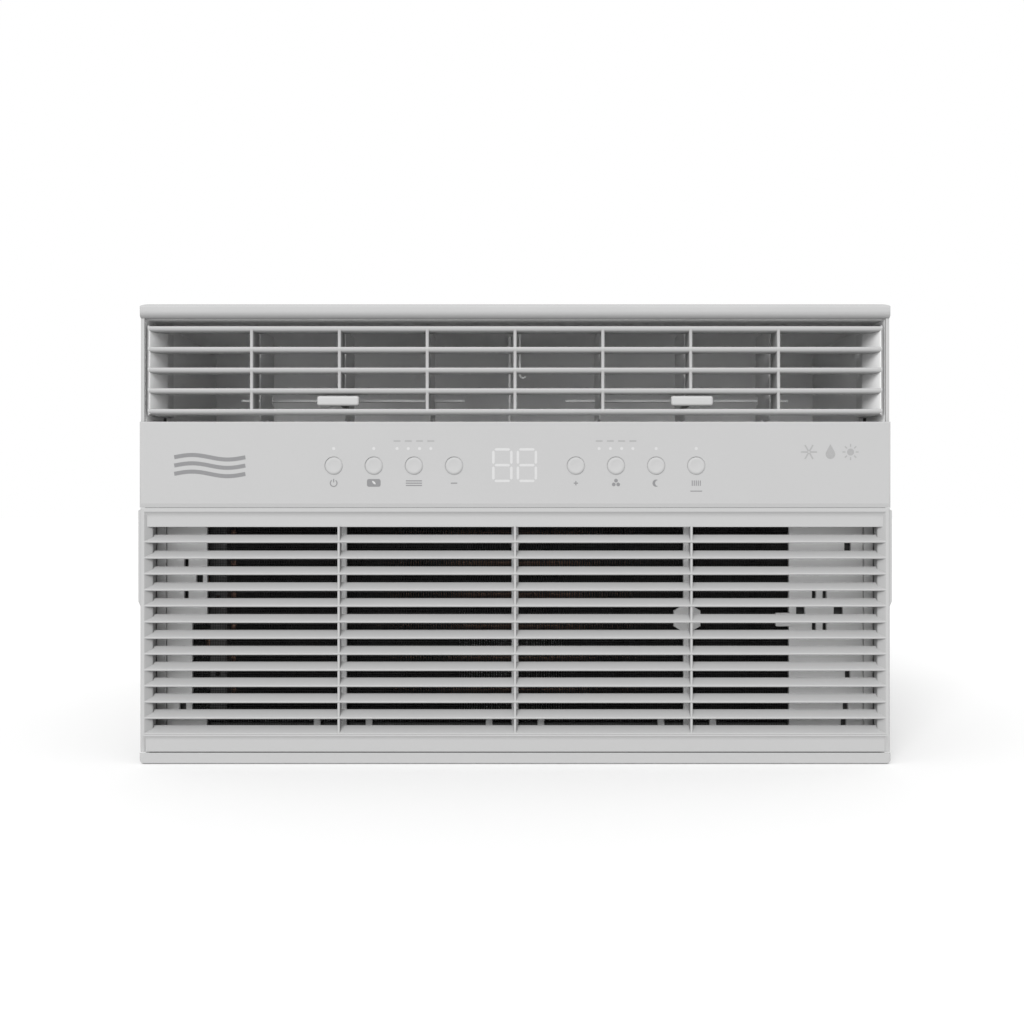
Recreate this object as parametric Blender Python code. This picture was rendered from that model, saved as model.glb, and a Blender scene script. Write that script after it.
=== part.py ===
"""Window air conditioner: room side faces -Y, width along X, +Z up.

The origin is at the middle of the footprint, on the sill that the unit stands on.
Every function models one sub-part, or one family of equal sub-parts, and names it.
"""

import math

import bmesh
import bpy
from mathutils import Matrix, Vector

MM = 0.001

# Driving dimensions of the whole unit.
WIDTH = 560 * MM
DEPTH = 540 * MM
HEIGHT = 343 * MM
PLASTIC = 2.7 * MM          # wall of the moulded front
SHEET = 1.0 * MM            # wall of the steel cabinet
GAP = 0.3 * MM              # clearance between pieces that touch
PIN_GAP = 0.3 * MM          # radial clearance of a pivot pin

FRONT = -DEPTH / 2
BACK = DEPTH / 2
HALF = WIDTH / 2
INNER_HALF = HALF - PLASTIC

# Front panel.
PANEL_DEPTH = 75 * MM
SILL_TOP = 8.1 * MM         # visible strip under the intake grille
SILL_FLOOR = 6.2 * MM       # top of the strip behind its front lip
BAND_BOTTOM = 193.7 * MM    # control band
BAND_TOP = 255.1 * MM
LIP_BOTTOM = 332.2 * MM     # lip over the air outlet
SILL_LIP = 1.2 * MM          # thickness of the front lip of the strip
STEP_BOTTOM = 191.3 * MM    # recessed step between band and grille
STEP_DEPTH = 3.0 * MM
TUNNEL_DEPTH = 50.5 * MM    # floor and ceiling of the outlet, back to the duct
OUTLET_MIDDLE = (BAND_TOP + LIP_BOTTOM) / 2

# Intake grille.
GRILLE_HALF = 279.5 * MM
GRILLE_BOTTOM = 8.8 * MM
GRILLE_TOP = 190.8 * MM
GRILLE_THICK = 12 * MM
STILE = 8.2 * MM
SLOT_COUNT = 13
SLAT_PITCH = 11.94 * MM
SLAT_NOSE = 1.4 * MM
SLAT_RISE = 6.8 * MM
SLAT_DEPTH = 9.8 * MM
TOP_SLAT_EDGE = 176.5 * MM  # lower edge of the slat above the first slot
RIB_OFFSET = 131.6 * MM
RIB_WIDTH = 1.9 * MM
EAR_OUT = 1.7 * MM
EAR_BOTTOM = 117 * MM
HINGE_DEPTH = 7.0 * MM      # grille pivot, behind the front
HINGE_RISE = 6.0 * MM       # grille pivot, above the grille's bottom edge
HINGE_ARM = 2.8 * MM        # half thickness of the arm that carries the pivot
HINGE_X = 236 * MM
HINGE_PIN_R = 1.7 * MM
LUG_WIDTH = 6.0 * MM

# Louvre cassette, vertical vanes and their linkage.
BLADE_COUNT = 5
BLADE_PITCH = 15.5 * MM
TOP_BLADE = 325.4 * MM
BLADE_NOSE = 3.5 * MM       # how far the noses sit behind the front
BLADE_CHORD = 24 * MM
BLADE_THICK = 2.6 * MM
CASSETTE_HALF = 275.2 * MM
CASSETTE_REAR = 45 * MM
END_PLATE = 2.0 * MM
CASSETTE_PIVOT = 16.5 * MM  # behind the front
CASSETTE_PIN_R = 2.5 * MM
RIB_PITCH = 65.8 * MM
LOUVRE_RIB = 2.6 * MM
VANE_FRONT = 35 * MM
VANE_REAR = 82 * MM
VANE_PIVOT = 56 * MM
VANE_CRANK = 79 * MM
VANE_BOTTOM = 259 * MM
VANE_TOP = 330 * MM
VANE_THICK = 1.6 * MM
VANE_PIN_R = 2.0 * MM
LINK_Z = 277.9 * MM
LINK_THICK = 2.0 * MM
LINK_HALF_WIDTH = 2.5 * MM
LINK_OVERHANG = 25 * MM
CRANK_PIN_R = 1.2 * MM
TAB_WIDTH = 31.6 * MM
TAB_HEIGHT = 7.4 * MM
TAB_THICK = 4.0 * MM
TAB_Z = 271.0 * MM

# Controls.
BUTTON_R = 6.7 * MM
BUTTON_GAP = 0.35 * MM
BUTTON_Z = 222.2 * MM
BUTTON_PITCH = 29.9 * MM
LEFT_BUTTON_X = -135.2 * MM
RIGHT_BUTTON_X = 45.3 * MM
BUTTON_TRAVEL = 1.0 * MM
BUTTON_FLANGE_R = 8.2 * MM
SWITCH_FRONT = 9.6 * MM     # face of the tactile switches, behind the front
BOARD_FRONT = 13.0 * MM
BOARD_THICK = 1.6 * MM
BOARD_HALF = 168 * MM
BUTTON_NAMES = (
    ("power", LEFT_BUTTON_X),
    ("eco", LEFT_BUTTON_X + BUTTON_PITCH),
    ("mode", LEFT_BUTTON_X + 2 * BUTTON_PITCH),
    ("minus", LEFT_BUTTON_X + 3 * BUTTON_PITCH),
    ("plus", RIGHT_BUTTON_X),
    ("speed", RIGHT_BUTTON_X + BUTTON_PITCH),
    ("sleep", RIGHT_BUTTON_X + 2 * BUTTON_PITCH),
    ("filter", RIGHT_BUTTON_X + 3 * BUTTON_PITCH),
)

# Filter and the plate around the evaporator.
FILTER_FRONT = FRONT + 30 * MM
FILTER_THICK = 3.6 * MM
FILTER_HALF = 268.5 * MM
FILTER_BOTTOM = 12 * MM
FILTER_TOP = 189 * MM
FILTER_RIB = 5.4 * MM
FILTER_RIB_X = 132.6 * MM
PLATE_FRONT = FRONT + 38 * MM
PLATE_THICK = 2.5 * MM
SURROUND_TOP = 248 * MM

# Air path, fan shaft and machinery.
CABINET_FRONT = FRONT + 65 * MM
CABINET_BACK = BACK - 6 * MM
CABINET_HALF = HALF - PLASTIC - 0.5 * MM
CABINET_TOP = HEIGHT - PLASTIC - 0.6 * MM
CABINET_BOTTOM = 3.5 * MM
SEAT_FRONT = -120 * MM      # raised seats for the top rail and the side channels
SEAT_BACK = -100 * MM
SEAT_HALF = 240 * MM
SEAT_RISE = 0.8 * MM
DUCT_FRONT = FRONT + 51 * MM
DUCT_BACK = -76 * MM
DUCT_BOTTOM = 250 * MM
DUCT_TOP = 335 * MM
DUCT_FLOOR = 257.1 * MM
DUCT_CEILING = 332 * MM
DUCT_WALL = 3.0 * MM
SHAFT_Z = 160 * MM
SHAFT_R = 5.0 * MM
WHEEL_R = 78 * MM
WHEEL_FRONT = -166 * MM
WHEEL_BACK = -86 * MM
SCROLL_FRONT = -170 * MM
SCROLL_BACK = -78 * MM
SCROLL_START_R = 85 * MM
SCROLL_END_R = 113 * MM
BULKHEAD = -64 * MM
MOTOR_FRONT = -48 * MM
MOTOR_BACK = 40 * MM
MOTOR_R = 48 * MM
PAN_FLOOR = 2.0 * MM
PAN_FLANGE = 15 * MM
FAN_R = 140 * MM
FAN_FRONT = 118 * MM
FAN_BACK = 146 * MM
SHROUD_FRONT = 112 * MM
SHROUD_BACK = 198 * MM
COIL_TUBE_R = 3.6 * MM
COIL_PITCH = 25.4 * MM
COMPRESSOR_X = 150 * MM
COMPRESSOR_Y = 20 * MM
COMPRESSOR_R = 57 * MM


# --- materials -----------------------------------------------------------------

MATERIALS = {
    "white_plastic": ((0.62, 0.62, 0.62), 0.45, 0.0),
    "grey_plastic": ((0.22, 0.22, 0.22), 0.55, 0.0),
    "black_plastic": ((0.03, 0.03, 0.03), 0.5, 0.0),
    "painted_steel": ((0.60, 0.60, 0.60), 0.4, 0.0),
    "zinc_steel": ((0.55, 0.56, 0.57), 0.35, 1.0),
    "aluminium_fins": ((0.70, 0.71, 0.72), 0.35, 1.0),
    "copper": ((0.72, 0.38, 0.24), 0.3, 1.0),
    "foam": ((0.80, 0.80, 0.80), 0.9, 0.0),
    "circuit_board": ((0.05, 0.22, 0.10), 0.5, 0.0),
    "black_steel": ((0.02, 0.02, 0.02), 0.4, 0.0),
    "rubber": ((0.02, 0.02, 0.02), 0.8, 0.0),
    "filter_net": ((0.10, 0.10, 0.11), 0.9, 0.0),
}


def material(name):
    """One Principled material for each entry in MATERIALS, made when first asked for."""
    found = bpy.data.materials.get(name)
    if found:
        return found
    colour, roughness, metallic = MATERIALS[name]
    made = bpy.data.materials.new(name)
    made.use_nodes = True
    shader = made.node_tree.nodes["Principled BSDF"]
    shader.inputs["Base Color"].default_value = (*colour, 1.0)
    shader.inputs["Roughness"].default_value = roughness
    shader.inputs["Metallic"].default_value = metallic
    return made


# --- modelling helpers -----------------------------------------------------------

def circle(centre_a, centre_b, radius, sides):
    """Corner points of a regular polygon."""
    points = []
    for step in range(sides):
        angle = 2 * math.pi * (step + 0.5) / sides
        points.append((centre_a + radius * math.cos(angle), centre_b + radius * math.sin(angle)))
    return points


def hole_radius(pin_radius, sides):
    """Corner radius of a polygonal hole whose flats clear a pin by PIN_GAP."""
    return (pin_radius + PIN_GAP) / math.cos(math.pi / sides)


def arc(centre_a, centre_b, radius, start_deg, end_deg, steps):
    """Points along a circular arc, both ends included."""
    points = []
    for step in range(steps + 1):
        angle = math.radians(start_deg + (end_deg - start_deg) * step / steps)
        points.append((centre_a + radius * math.cos(angle), centre_b + radius * math.sin(angle)))
    return points


def rectangle(low_a, high_a, low_b, high_b):
    return [(low_a, low_b), (high_a, low_b), (high_a, high_b), (low_a, high_b)]


PLACE = {
    "X": lambda a, b, along: (along, a, b),
    "Y": lambda a, b, along: (a, along, b),
    "Z": lambda a, b, along: (a, b, along),
}


def add_prism(mesh, outline, axis, low, high):
    """Adds a closed prism to a bmesh: the outline's two coordinates are those other than axis."""
    place = PLACE[axis]
    ends = []
    for along in (low, high):
        ends.append([mesh.verts.new(place(a, b, along)) for a, b in outline])
    mesh.faces.new(ends[0])
    mesh.faces.new(ends[1])
    count = len(outline)
    for index in range(count):
        after = (index + 1) % count
        mesh.faces.new((ends[0][index], ends[0][after], ends[1][after], ends[1][index]))


def finish(name, mesh, finish_name, smooth_angle=None):
    """Turns a bmesh into a named object with outward faces and a material."""
    bmesh.ops.recalc_face_normals(mesh, faces=mesh.faces)
    data = bpy.data.meshes.new(name)
    mesh.to_mesh(data)
    mesh.free()
    made = bpy.data.objects.new(name, data)
    bpy.context.scene.collection.objects.link(made)
    data.materials.append(material(finish_name))
    if smooth_angle:
        data.shade_smooth()
        data.set_sharp_from_angle(angle=math.radians(smooth_angle))
    return made


def prisms(name, finish_name, parts, smooth_angle=None):
    """One object from several prisms that don't touch: (outline, axis, low, high)."""
    mesh = bmesh.new()
    for outline, axis, low, high in parts:
        add_prism(mesh, outline, axis, low, high)
    return finish(name, mesh, finish_name, smooth_angle)


def prism(name, finish_name, outline, axis, low, high, smooth_angle=None):
    return prisms(name, finish_name, [(outline, axis, low, high)], smooth_angle)


def block(name, finish_name, low, high):
    outline = rectangle(low[0], high[0], low[1], high[1])
    return prism(name, finish_name, outline, "Z", low[2], high[2])


def turned(name, finish_name, profile, centre, axis, sides):
    """A closed body of revolution: profile is (radius, along) with both ends on the axis."""
    mesh = bmesh.new()
    place = PLACE[axis]
    rings = []
    for radius, along in profile:
        if radius == 0:
            rings.append([mesh.verts.new(place(centre[0], centre[1], along))])
            continue
        ring = circle(centre[0], centre[1], radius, sides)
        rings.append([mesh.verts.new(place(a, b, along)) for a, b in ring])
    for first, second in zip(rings, rings[1:]):
        for index in range(sides):
            after = (index + 1) % sides
            if len(first) == 1:
                mesh.faces.new((first[0], second[index], second[after]))
            elif len(second) == 1:
                mesh.faces.new((first[index], first[after], second[0]))
            else:
                mesh.faces.new((first[index], first[after], second[after], second[index]))
    return finish(name, mesh, finish_name, 40)


def combine(target, tool, operation):
    """Applies a Boolean of tool to target and removes the tool."""
    modifier = target.modifiers.new(operation.lower(), "BOOLEAN")
    modifier.operation = operation
    modifier.solver = "EXACT"
    modifier.object = tool
    graph = bpy.context.evaluated_depsgraph_get()
    result = bpy.data.meshes.new_from_object(target.evaluated_get(graph))
    result.name = target.name
    target.modifiers.clear()
    target.data = result
    bpy.data.objects.remove(tool)


def fuse(target, *tools):
    for tool in tools:
        combine(target, tool, "UNION")
    return target


def cut(target, *tools):
    for tool in tools:
        combine(target, tool, "DIFFERENCE")
    return target


def guide(parts):
    """Prisms used as a tool for fuse or cut."""
    return prisms("guide", "grey_plastic", parts)


def pipe(name, finish_name, points, radius):
    """A capped round tube that follows a list of points."""
    route = bpy.data.curves.new(name, "CURVE")
    route.dimensions = "3D"
    route.bevel_depth = radius
    route.bevel_resolution = 2
    route.use_fill_caps = True
    spline = route.splines.new("POLY")
    spline.points.add(len(points) - 1)
    for slot, point in zip(spline.points, points):
        slot.co = (*point, 1.0)
    made = bpy.data.objects.new(name, route)
    bpy.context.scene.collection.objects.link(made)
    route.materials.append(material(finish_name))
    return made


def rounded(corners, radius, steps=3):
    """A route through corners whose bends are arcs of about the given radius."""
    corners = [Vector(corner) for corner in corners]
    points = [corners[0]]
    for before, here, after in zip(corners, corners[1:], corners[2:]):
        enter = here + (before - here).normalized() * radius
        leave = here + (after - here).normalized() * radius
        for step in range(steps + 1):
            t = step / steps
            points.append(enter * (1 - t) ** 2 + here * 2 * t * (1 - t) + leave * t ** 2)
    points.append(corners[-1])
    return [tuple(point) for point in points]


def set_origin(made, point):
    """Puts an object's origin on its joint axis without moving its body."""
    made.data.transform(Matrix.Translation(-Vector(point)))
    made.location = point
    return made


# --- front panel -----------------------------------------------------------------

def front_panel():
    """Moulded front: side walls, lip over the outlet, control band and bottom sill."""
    rear = FRONT + PANEL_DEPTH
    behind_grille = FRONT + GRILLE_THICK + 0.8 * MM
    lip_back = FRONT + SILL_LIP
    pivot_z = GRILLE_BOTTOM + HINGE_RISE
    # The foot of each side wall is cut back where the bottom edge of the grille swings in.
    swing_back = FRONT + 15.4 * MM
    side = [
        (FRONT, 0), (FRONT, SILL_TOP), (lip_back, SILL_TOP), (lip_back, SILL_FLOOR),
        (swing_back, SILL_FLOOR), (swing_back, pivot_z + 6 * MM),
        (behind_grille, pivot_z + 9 * MM), (behind_grille, BAND_BOTTOM),
        (FRONT, BAND_BOTTOM), (FRONT, HEIGHT - 3 * MM), (FRONT + 3 * MM, HEIGHT), (rear, HEIGHT),
        (rear, 0),
    ]
    panel = prisms("front_panel", "white_plastic", [
        (side, "X", -HALF, -INNER_HALF),
        (side, "X", INNER_HALF, HALF),
    ])
    nose = arc(FRONT + 3 * MM, HEIGHT - 3 * MM, 3 * MM, 90, 180, 3)
    chin = arc(FRONT + 6 * MM, LIP_BOTTOM + 6 * MM, 6 * MM, 180, 270, 3)
    tunnel = FRONT + TUNNEL_DEPTH
    lip = [(rear, HEIGHT)] + nose + chin + [
        (tunnel, LIP_BOTTOM), (tunnel, LIP_BOTTOM + PLASTIC),
        (FRONT + 8 * MM, LIP_BOTTOM + PLASTIC), (FRONT + 8 * MM, HEIGHT - PLASTIC),
        (rear, HEIGHT - PLASTIC),
    ]
    flange = FRONT + 26 * MM
    skin = FRONT + PLASTIC
    step = FRONT + STEP_DEPTH
    band = [
        (FRONT, BAND_BOTTOM), (FRONT, BAND_TOP - 1 * MM), (FRONT + 1 * MM, BAND_TOP),
        (tunnel, BAND_TOP), (tunnel, BAND_TOP - PLASTIC), (skin, BAND_TOP - PLASTIC),
        (skin, BAND_BOTTOM + PLASTIC), (flange, BAND_BOTTOM + PLASTIC), (flange, STEP_BOTTOM),
        (step, STEP_BOTTOM), (step, BAND_BOTTOM),
    ]
    sill_back = FRONT + 13 * MM
    sill = [
        (FRONT, 1 * MM), (FRONT, SILL_TOP), (lip_back, SILL_TOP), (lip_back, SILL_FLOOR),
        (sill_back, SILL_FLOOR), (sill_back, PLASTIC), (rear, PLASTIC), (rear, 0),
        (FRONT + 1 * MM, 0),
    ]
    # The bars run through the whole width of the side walls, so all four join as one shell.
    fuse(panel, guide([(lip, "X", -HALF, HALF)]))
    fuse(panel, guide([(band, "X", -HALF, HALF)]))
    fuse(panel, guide([(sill, "X", -HALF, HALF)]))
    lugs = []
    pivot_y = FRONT + HINGE_DEPTH
    # Each lug stands behind the grille and reaches forward, so the grille can swing under it.
    post = sill_back + 0.4 * MM
    lug = [
        (pivot_y - HINGE_ARM, pivot_z - HINGE_ARM), (post, pivot_z - HINGE_ARM),
        (post, PLASTIC - 1 * MM), (post + 4 * MM, PLASTIC - 1 * MM),
        (post + 4 * MM, pivot_z + HINGE_ARM), (pivot_y - HINGE_ARM, pivot_z + HINGE_ARM),
    ]
    for side_sign in (-1, 1):
        middle = side_sign * HINGE_X
        lugs.append((lug, "X", middle - LUG_WIDTH / 2, middle + LUG_WIDTH / 2))
    posts = []
    for x in (-158 * MM, 158 * MM):
        for z in (207 * MM, 243 * MM):
            post = circle(x, z, 3 * MM, 8)
            posts.append((post, "Y", FRONT + 2 * MM, FRONT + BOARD_FRONT - GAP))
    fuse(panel, guide(lugs), guide(posts))
    bore = circle(pivot_y, pivot_z, hole_radius(HINGE_PIN_R, 12), 12)
    cut(panel, guide([(bore, "X", -HALF + 10 * MM, HALF - 10 * MM)]))
    holes = []
    for _name, x in BUTTON_NAMES:
        hole = circle(x, BUTTON_Z, (BUTTON_R + BUTTON_GAP) / math.cos(math.pi / 12), 12)
        holes.append((hole, "Y", FRONT - 1 * MM, FRONT + PLASTIC + 1 * MM))
    cut(panel, guide(holes))
    socket = circle(FRONT + CASSETTE_PIVOT, OUTLET_MIDDLE, hole_radius(CASSETTE_PIN_R, 12), 12)
    cut(panel, guide([
        (socket, "X", -HALF + 1.2 * MM, -INNER_HALF + 1 * MM),
        (socket, "X", INNER_HALF - 1 * MM, HALF - 1.2 * MM),
    ]))
    return panel


# --- intake grille -----------------------------------------------------------------

def slat_outline(edge):
    """Section of one slat: its face rises and leans back from the front lower edge."""
    return [
        (FRONT, edge), (FRONT, edge + SLAT_NOSE), (FRONT + SLAT_DEPTH, edge + SLAT_RISE),
        (FRONT + SLAT_DEPTH + 1.4 * MM, edge + SLAT_RISE - 0.8 * MM), (FRONT + 2.2 * MM, edge),
    ]


def intake_grille():
    """Hinged grille: a frame with slats, three thin ribs and a finger grip at each side."""
    rear = FRONT + GRILLE_THICK
    stile_low = GRILLE_BOTTOM
    chamfer = 2 * MM
    foot = [
        (FRONT, stile_low + chamfer), (FRONT + chamfer, stile_low), (rear, stile_low),
    ]
    stile = foot + [(rear, GRILLE_TOP), (FRONT, GRILLE_TOP)]
    inner = GRILLE_HALF - STILE
    grille = prisms("intake_grille", "white_plastic", [
        (stile, "X", -GRILLE_HALF, -inner),
        (stile, "X", inner, GRILLE_HALF),
    ])
    last_edge = TOP_SLAT_EDGE - SLOT_COUNT * SLAT_PITCH
    blind = last_edge - 3.4 * MM
    bottom_rail = foot + [
        (rear, last_edge + 2 * MM), (FRONT + 2.4 * MM, last_edge + 1 * MM),
        (FRONT + 2.4 * MM, blind + 0.8 * MM), (FRONT + 0.8 * MM, blind - 2 * MM),
        (FRONT, blind - 4 * MM),
    ]
    top_rail = [
        (FRONT, TOP_SLAT_EDGE), (FRONT, TOP_SLAT_EDGE + 2 * MM),
        (FRONT + 3 * MM, GRILLE_TOP - 6.6 * MM), (FRONT + 3 * MM, GRILLE_TOP - 3 * MM),
        (FRONT, GRILLE_TOP - 3 * MM), (FRONT, GRILLE_TOP), (rear, GRILLE_TOP),
        (rear, TOP_SLAT_EDGE + 8 * MM), (FRONT + 3 * MM, TOP_SLAT_EDGE),
    ]
    overlap = inner + STILE / 2
    fuse(grille, guide([
        (bottom_rail, "X", -overlap, overlap),
        (top_rail, "X", -overlap, overlap),
    ]))
    slats = []
    for index in range(1, SLOT_COUNT + 1):
        edge = TOP_SLAT_EDGE - index * SLAT_PITCH
        slats.append((slat_outline(edge), "X", -overlap, overlap))
    fuse(grille, guide(slats))
    ribs = []
    for x in (-RIB_OFFSET, 0, RIB_OFFSET):
        rib = rectangle(FRONT + 0.4 * MM, FRONT + 9 * MM, last_edge, TOP_SLAT_EDGE + 4 * MM)
        ribs.append((rib, "X", x - RIB_WIDTH / 2, x + RIB_WIDTH / 2))
    fuse(grille, guide(ribs))
    ear = [
        (GRILLE_HALF - 1 * MM, EAR_BOTTOM), (GRILLE_HALF, EAR_BOTTOM),
        (GRILLE_HALF + EAR_OUT, EAR_BOTTOM + 6 * MM), (GRILLE_HALF + EAR_OUT, GRILLE_TOP - 2 * MM),
        (GRILLE_HALF, GRILLE_TOP - 0.6 * MM), (GRILLE_HALF - 1 * MM, GRILLE_TOP - 0.6 * MM),
    ]
    mirrored = [(-x, z) for x, z in ear]
    fuse(grille, guide([
        (ear, "Y", FRONT + 1 * MM, rear - 0.5 * MM),
        (mirrored, "Y", FRONT + 1 * MM, rear - 0.5 * MM),
    ]))
    pivot_y = FRONT + HINGE_DEPTH
    pivot_z = GRILLE_BOTTOM + HINGE_RISE
    notches = []
    pins = []
    half = LUG_WIDTH / 2 + 0.8 * MM
    reach = HINGE_ARM * math.sqrt(2) + 0.15 * MM
    for x in (-HINGE_X, HINGE_X):
        notch = rectangle(pivot_y - reach, rear + 1 * MM, 0, pivot_z + reach)
        notches.append((notch, "X", x - half, x + half))
        pins.append((circle(pivot_y, pivot_z, HINGE_PIN_R, 12), "X", x - half - 1 * MM, x + half + 1 * MM))
    cut(grille, guide(notches))
    fuse(grille, guide(pins))
    return set_origin(grille, (0, pivot_y, pivot_z))


# --- controls -----------------------------------------------------------------

def button(name, x):
    """Round key cap with a retaining flange and a stem that meets its switch."""
    face = FRONT + 0.1 * MM
    flange = FRONT + PLASTIC + GAP
    profile = [
        (0, face + 0.5 * MM), (BUTTON_R - 1.2 * MM, face), (BUTTON_R - 0.4 * MM, face),
        (BUTTON_R, face + 0.5 * MM), (BUTTON_R, flange), (BUTTON_FLANGE_R, flange),
        (BUTTON_FLANGE_R, flange + 1 * MM), (2.2 * MM, flange + 1 * MM),
        (2.2 * MM, FRONT + SWITCH_FRONT - BUTTON_TRAVEL - 0.4 * MM),
        (0, FRONT + SWITCH_FRONT - BUTTON_TRAVEL - 0.4 * MM),
    ]
    cap = turned("button_" + name, "white_plastic", profile, (0, 0), "Y", 12)
    cap.location = (x, 0, BUTTON_Z)
    return cap


def control_board():
    """Key and display board with one tactile switch behind each button."""
    face = FRONT + BOARD_FRONT
    outline = rectangle(-BOARD_HALF, BOARD_HALF, 200 * MM, 250 * MM)
    board = prism("control_board", "circuit_board", outline, "Y", face, face + BOARD_THICK)
    switches = []
    for _name, x in BUTTON_NAMES:
        switch = rectangle(x - 3 * MM, x + 3 * MM, BUTTON_Z - 3 * MM, BUTTON_Z + 3 * MM)
        switches.append((switch, "Y", FRONT + SWITCH_FRONT, face + 0.5 * MM))
    fuse(board, guide(switches))
    return board


def display_module():
    """Two-digit display behind the middle of the control band."""
    return block(
        "display_module", "black_plastic",
        (-20 * MM, FRONT + PLASTIC + GAP, 207 * MM), (20 * MM, FRONT + BOARD_FRONT - GAP, 239 * MM),
    )


# --- air outlet -----------------------------------------------------------------

def louvre_cassette():
    """Rocking frame of five level blades with ribs, end plates and pivot pins."""
    nose = FRONT + BLADE_NOSE
    rear = FRONT + CASSETTE_REAR
    top = OUTLET_MIDDLE + 34 * MM
    bottom = OUTLET_MIDDLE - 34 * MM
    plate = [
        (nose, bottom + 1 * MM), (nose + 1 * MM, bottom), (nose + 12 * MM, bottom),
        (rear, OUTLET_MIDDLE - 31 * MM), (rear, OUTLET_MIDDLE + 31 * MM), (nose + 12 * MM, top),
        (nose + 1 * MM, top), (nose, top - 1 * MM),
    ]
    inner = CASSETTE_HALF - END_PLATE
    cassette = prisms("louvre_cassette", "white_plastic", [
        (plate, "X", -CASSETTE_HALF, -inner),
        (plate, "X", inner, CASSETTE_HALF),
    ])
    half = BLADE_THICK / 2
    tail = nose + BLADE_CHORD
    blades = []
    for index in range(BLADE_COUNT):
        z = TOP_BLADE - index * BLADE_PITCH
        section = [
            (nose, z - half + 0.6 * MM), (nose + 0.6 * MM, z - half), (tail, z - 0.7 * MM),
            (tail, z + 0.7 * MM), (nose + 0.6 * MM, z + half), (nose, z + half - 0.6 * MM),
        ]
        blades.append((section, "X", -inner - 1 * MM, inner + 1 * MM))
    fuse(cassette, guide(blades))
    ribs = []
    lowest = TOP_BLADE - (BLADE_COUNT - 1) * BLADE_PITCH
    for place in range(-3, 4):
        # The two ribs in front of the adjuster tabs stop one blade higher.
        low = lowest + BLADE_PITCH if abs(place) == 2 else lowest
        rib = rectangle(nose + 0.4 * MM, tail - 2 * MM, low, TOP_BLADE)
        middle = place * RIB_PITCH
        ribs.append((rib, "X", middle - LOUVRE_RIB / 2, middle + LOUVRE_RIB / 2))
    fuse(cassette, guide(ribs))
    pin = circle(FRONT + CASSETTE_PIVOT, OUTLET_MIDDLE, CASSETTE_PIN_R, 12)
    reach = HALF - 1.5 * MM
    fuse(cassette, guide([
        (pin, "X", -reach, -inner - 1 * MM),
        (pin, "X", inner + 1 * MM, reach),
    ]))
    return set_origin(cassette, (0, FRONT + CASSETTE_PIVOT, OUTLET_MIDDLE))


def vane(name):
    """Upright vane that turns on its own pins and carries a crank pin near its rear edge.

    The mesh is made about the pivot line, so that each copy turns about its own origin.
    """
    front = VANE_FRONT - VANE_PIVOT
    rear = VANE_REAR - VANE_PIVOT
    crank = VANE_CRANK - VANE_PIVOT
    half = VANE_THICK / 2
    notch_half = LINK_THICK / 2 + 2.4 * MM
    outline = [
        (front, VANE_BOTTOM), (rear, VANE_BOTTOM), (rear, LINK_Z - notch_half),
        (crank - 5 * MM, LINK_Z - notch_half), (crank - 5 * MM, LINK_Z + notch_half),
        (rear, LINK_Z + notch_half), (rear, VANE_TOP), (front, VANE_TOP),
    ]
    body = prism(name, "grey_plastic", outline, "X", -half, half)
    pins = [
        (circle(0, 0, VANE_PIN_R, 8), "Z", VANE_BOTTOM - 6 * MM, VANE_BOTTOM + 2 * MM),
        (circle(0, 0, VANE_PIN_R, 8), "Z", VANE_TOP - 2 * MM, DUCT_TOP - 0.5 * MM),
        (circle(0, crank, CRANK_PIN_R, 8), "Z", LINK_Z - notch_half - 1 * MM,
         LINK_Z + notch_half + 1 * MM),
    ]
    fuse(body, guide(pins))
    return body


def link_bar(name, middle):
    """Flat bar that ties the crank pins of one bank of three vanes."""
    y = FRONT + VANE_CRANK
    reach = RIB_PITCH + LINK_OVERHANG
    outline = rectangle(middle - reach, middle + reach, y - LINK_HALF_WIDTH, y + LINK_HALF_WIDTH)
    bar = prism(name, "grey_plastic", outline, "Z", LINK_Z - LINK_THICK / 2, LINK_Z + LINK_THICK / 2)
    holes = []
    for place in (-1, 0, 1):
        hole = circle(middle + place * RIB_PITCH, y, hole_radius(CRANK_PIN_R, 8), 8)
        holes.append((hole, "Z", LINK_Z - LINK_THICK, LINK_Z + LINK_THICK))
    cut(bar, guide(holes))
    return set_origin(bar, (middle, y, LINK_Z))


def adjuster_tab(name, middle):
    """Finger tab whose forked arm grips the front edge of the middle vane."""
    face = FRONT + BLADE_NOSE
    half = TAB_WIDTH / 2
    bevel = 1.6 * MM
    low = TAB_Z - TAB_HEIGHT / 2
    high = TAB_Z + TAB_HEIGHT / 2
    outline = [
        (middle - half + bevel, low), (middle + half - bevel, low), (middle + half, low + bevel),
        (middle + half, high - bevel), (middle + half - bevel, high), (middle - half + bevel, high),
        (middle - half, high - bevel), (middle - half, low + bevel),
    ]
    tab = prism(name, "white_plastic", outline, "Y", face, face + TAB_THICK)
    edge = FRONT + VANE_FRONT - GAP
    fork = edge + 6 * MM
    arm = 2.2 * MM
    slot = VANE_THICK / 2 + GAP
    forked = [
        (middle - arm, face + TAB_THICK - 1 * MM), (middle + arm, face + TAB_THICK - 1 * MM),
        (middle + arm, fork), (middle + slot, fork), (middle + slot, edge), (middle - slot, edge),
        (middle - slot, fork), (middle - arm, fork),
    ]
    fuse(tab, guide([(forked, "Z", TAB_Z - 2.5 * MM, TAB_Z + 2.5 * MM)]))
    return set_origin(tab, (middle, FRONT + VANE_PIVOT, TAB_Z))


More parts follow.
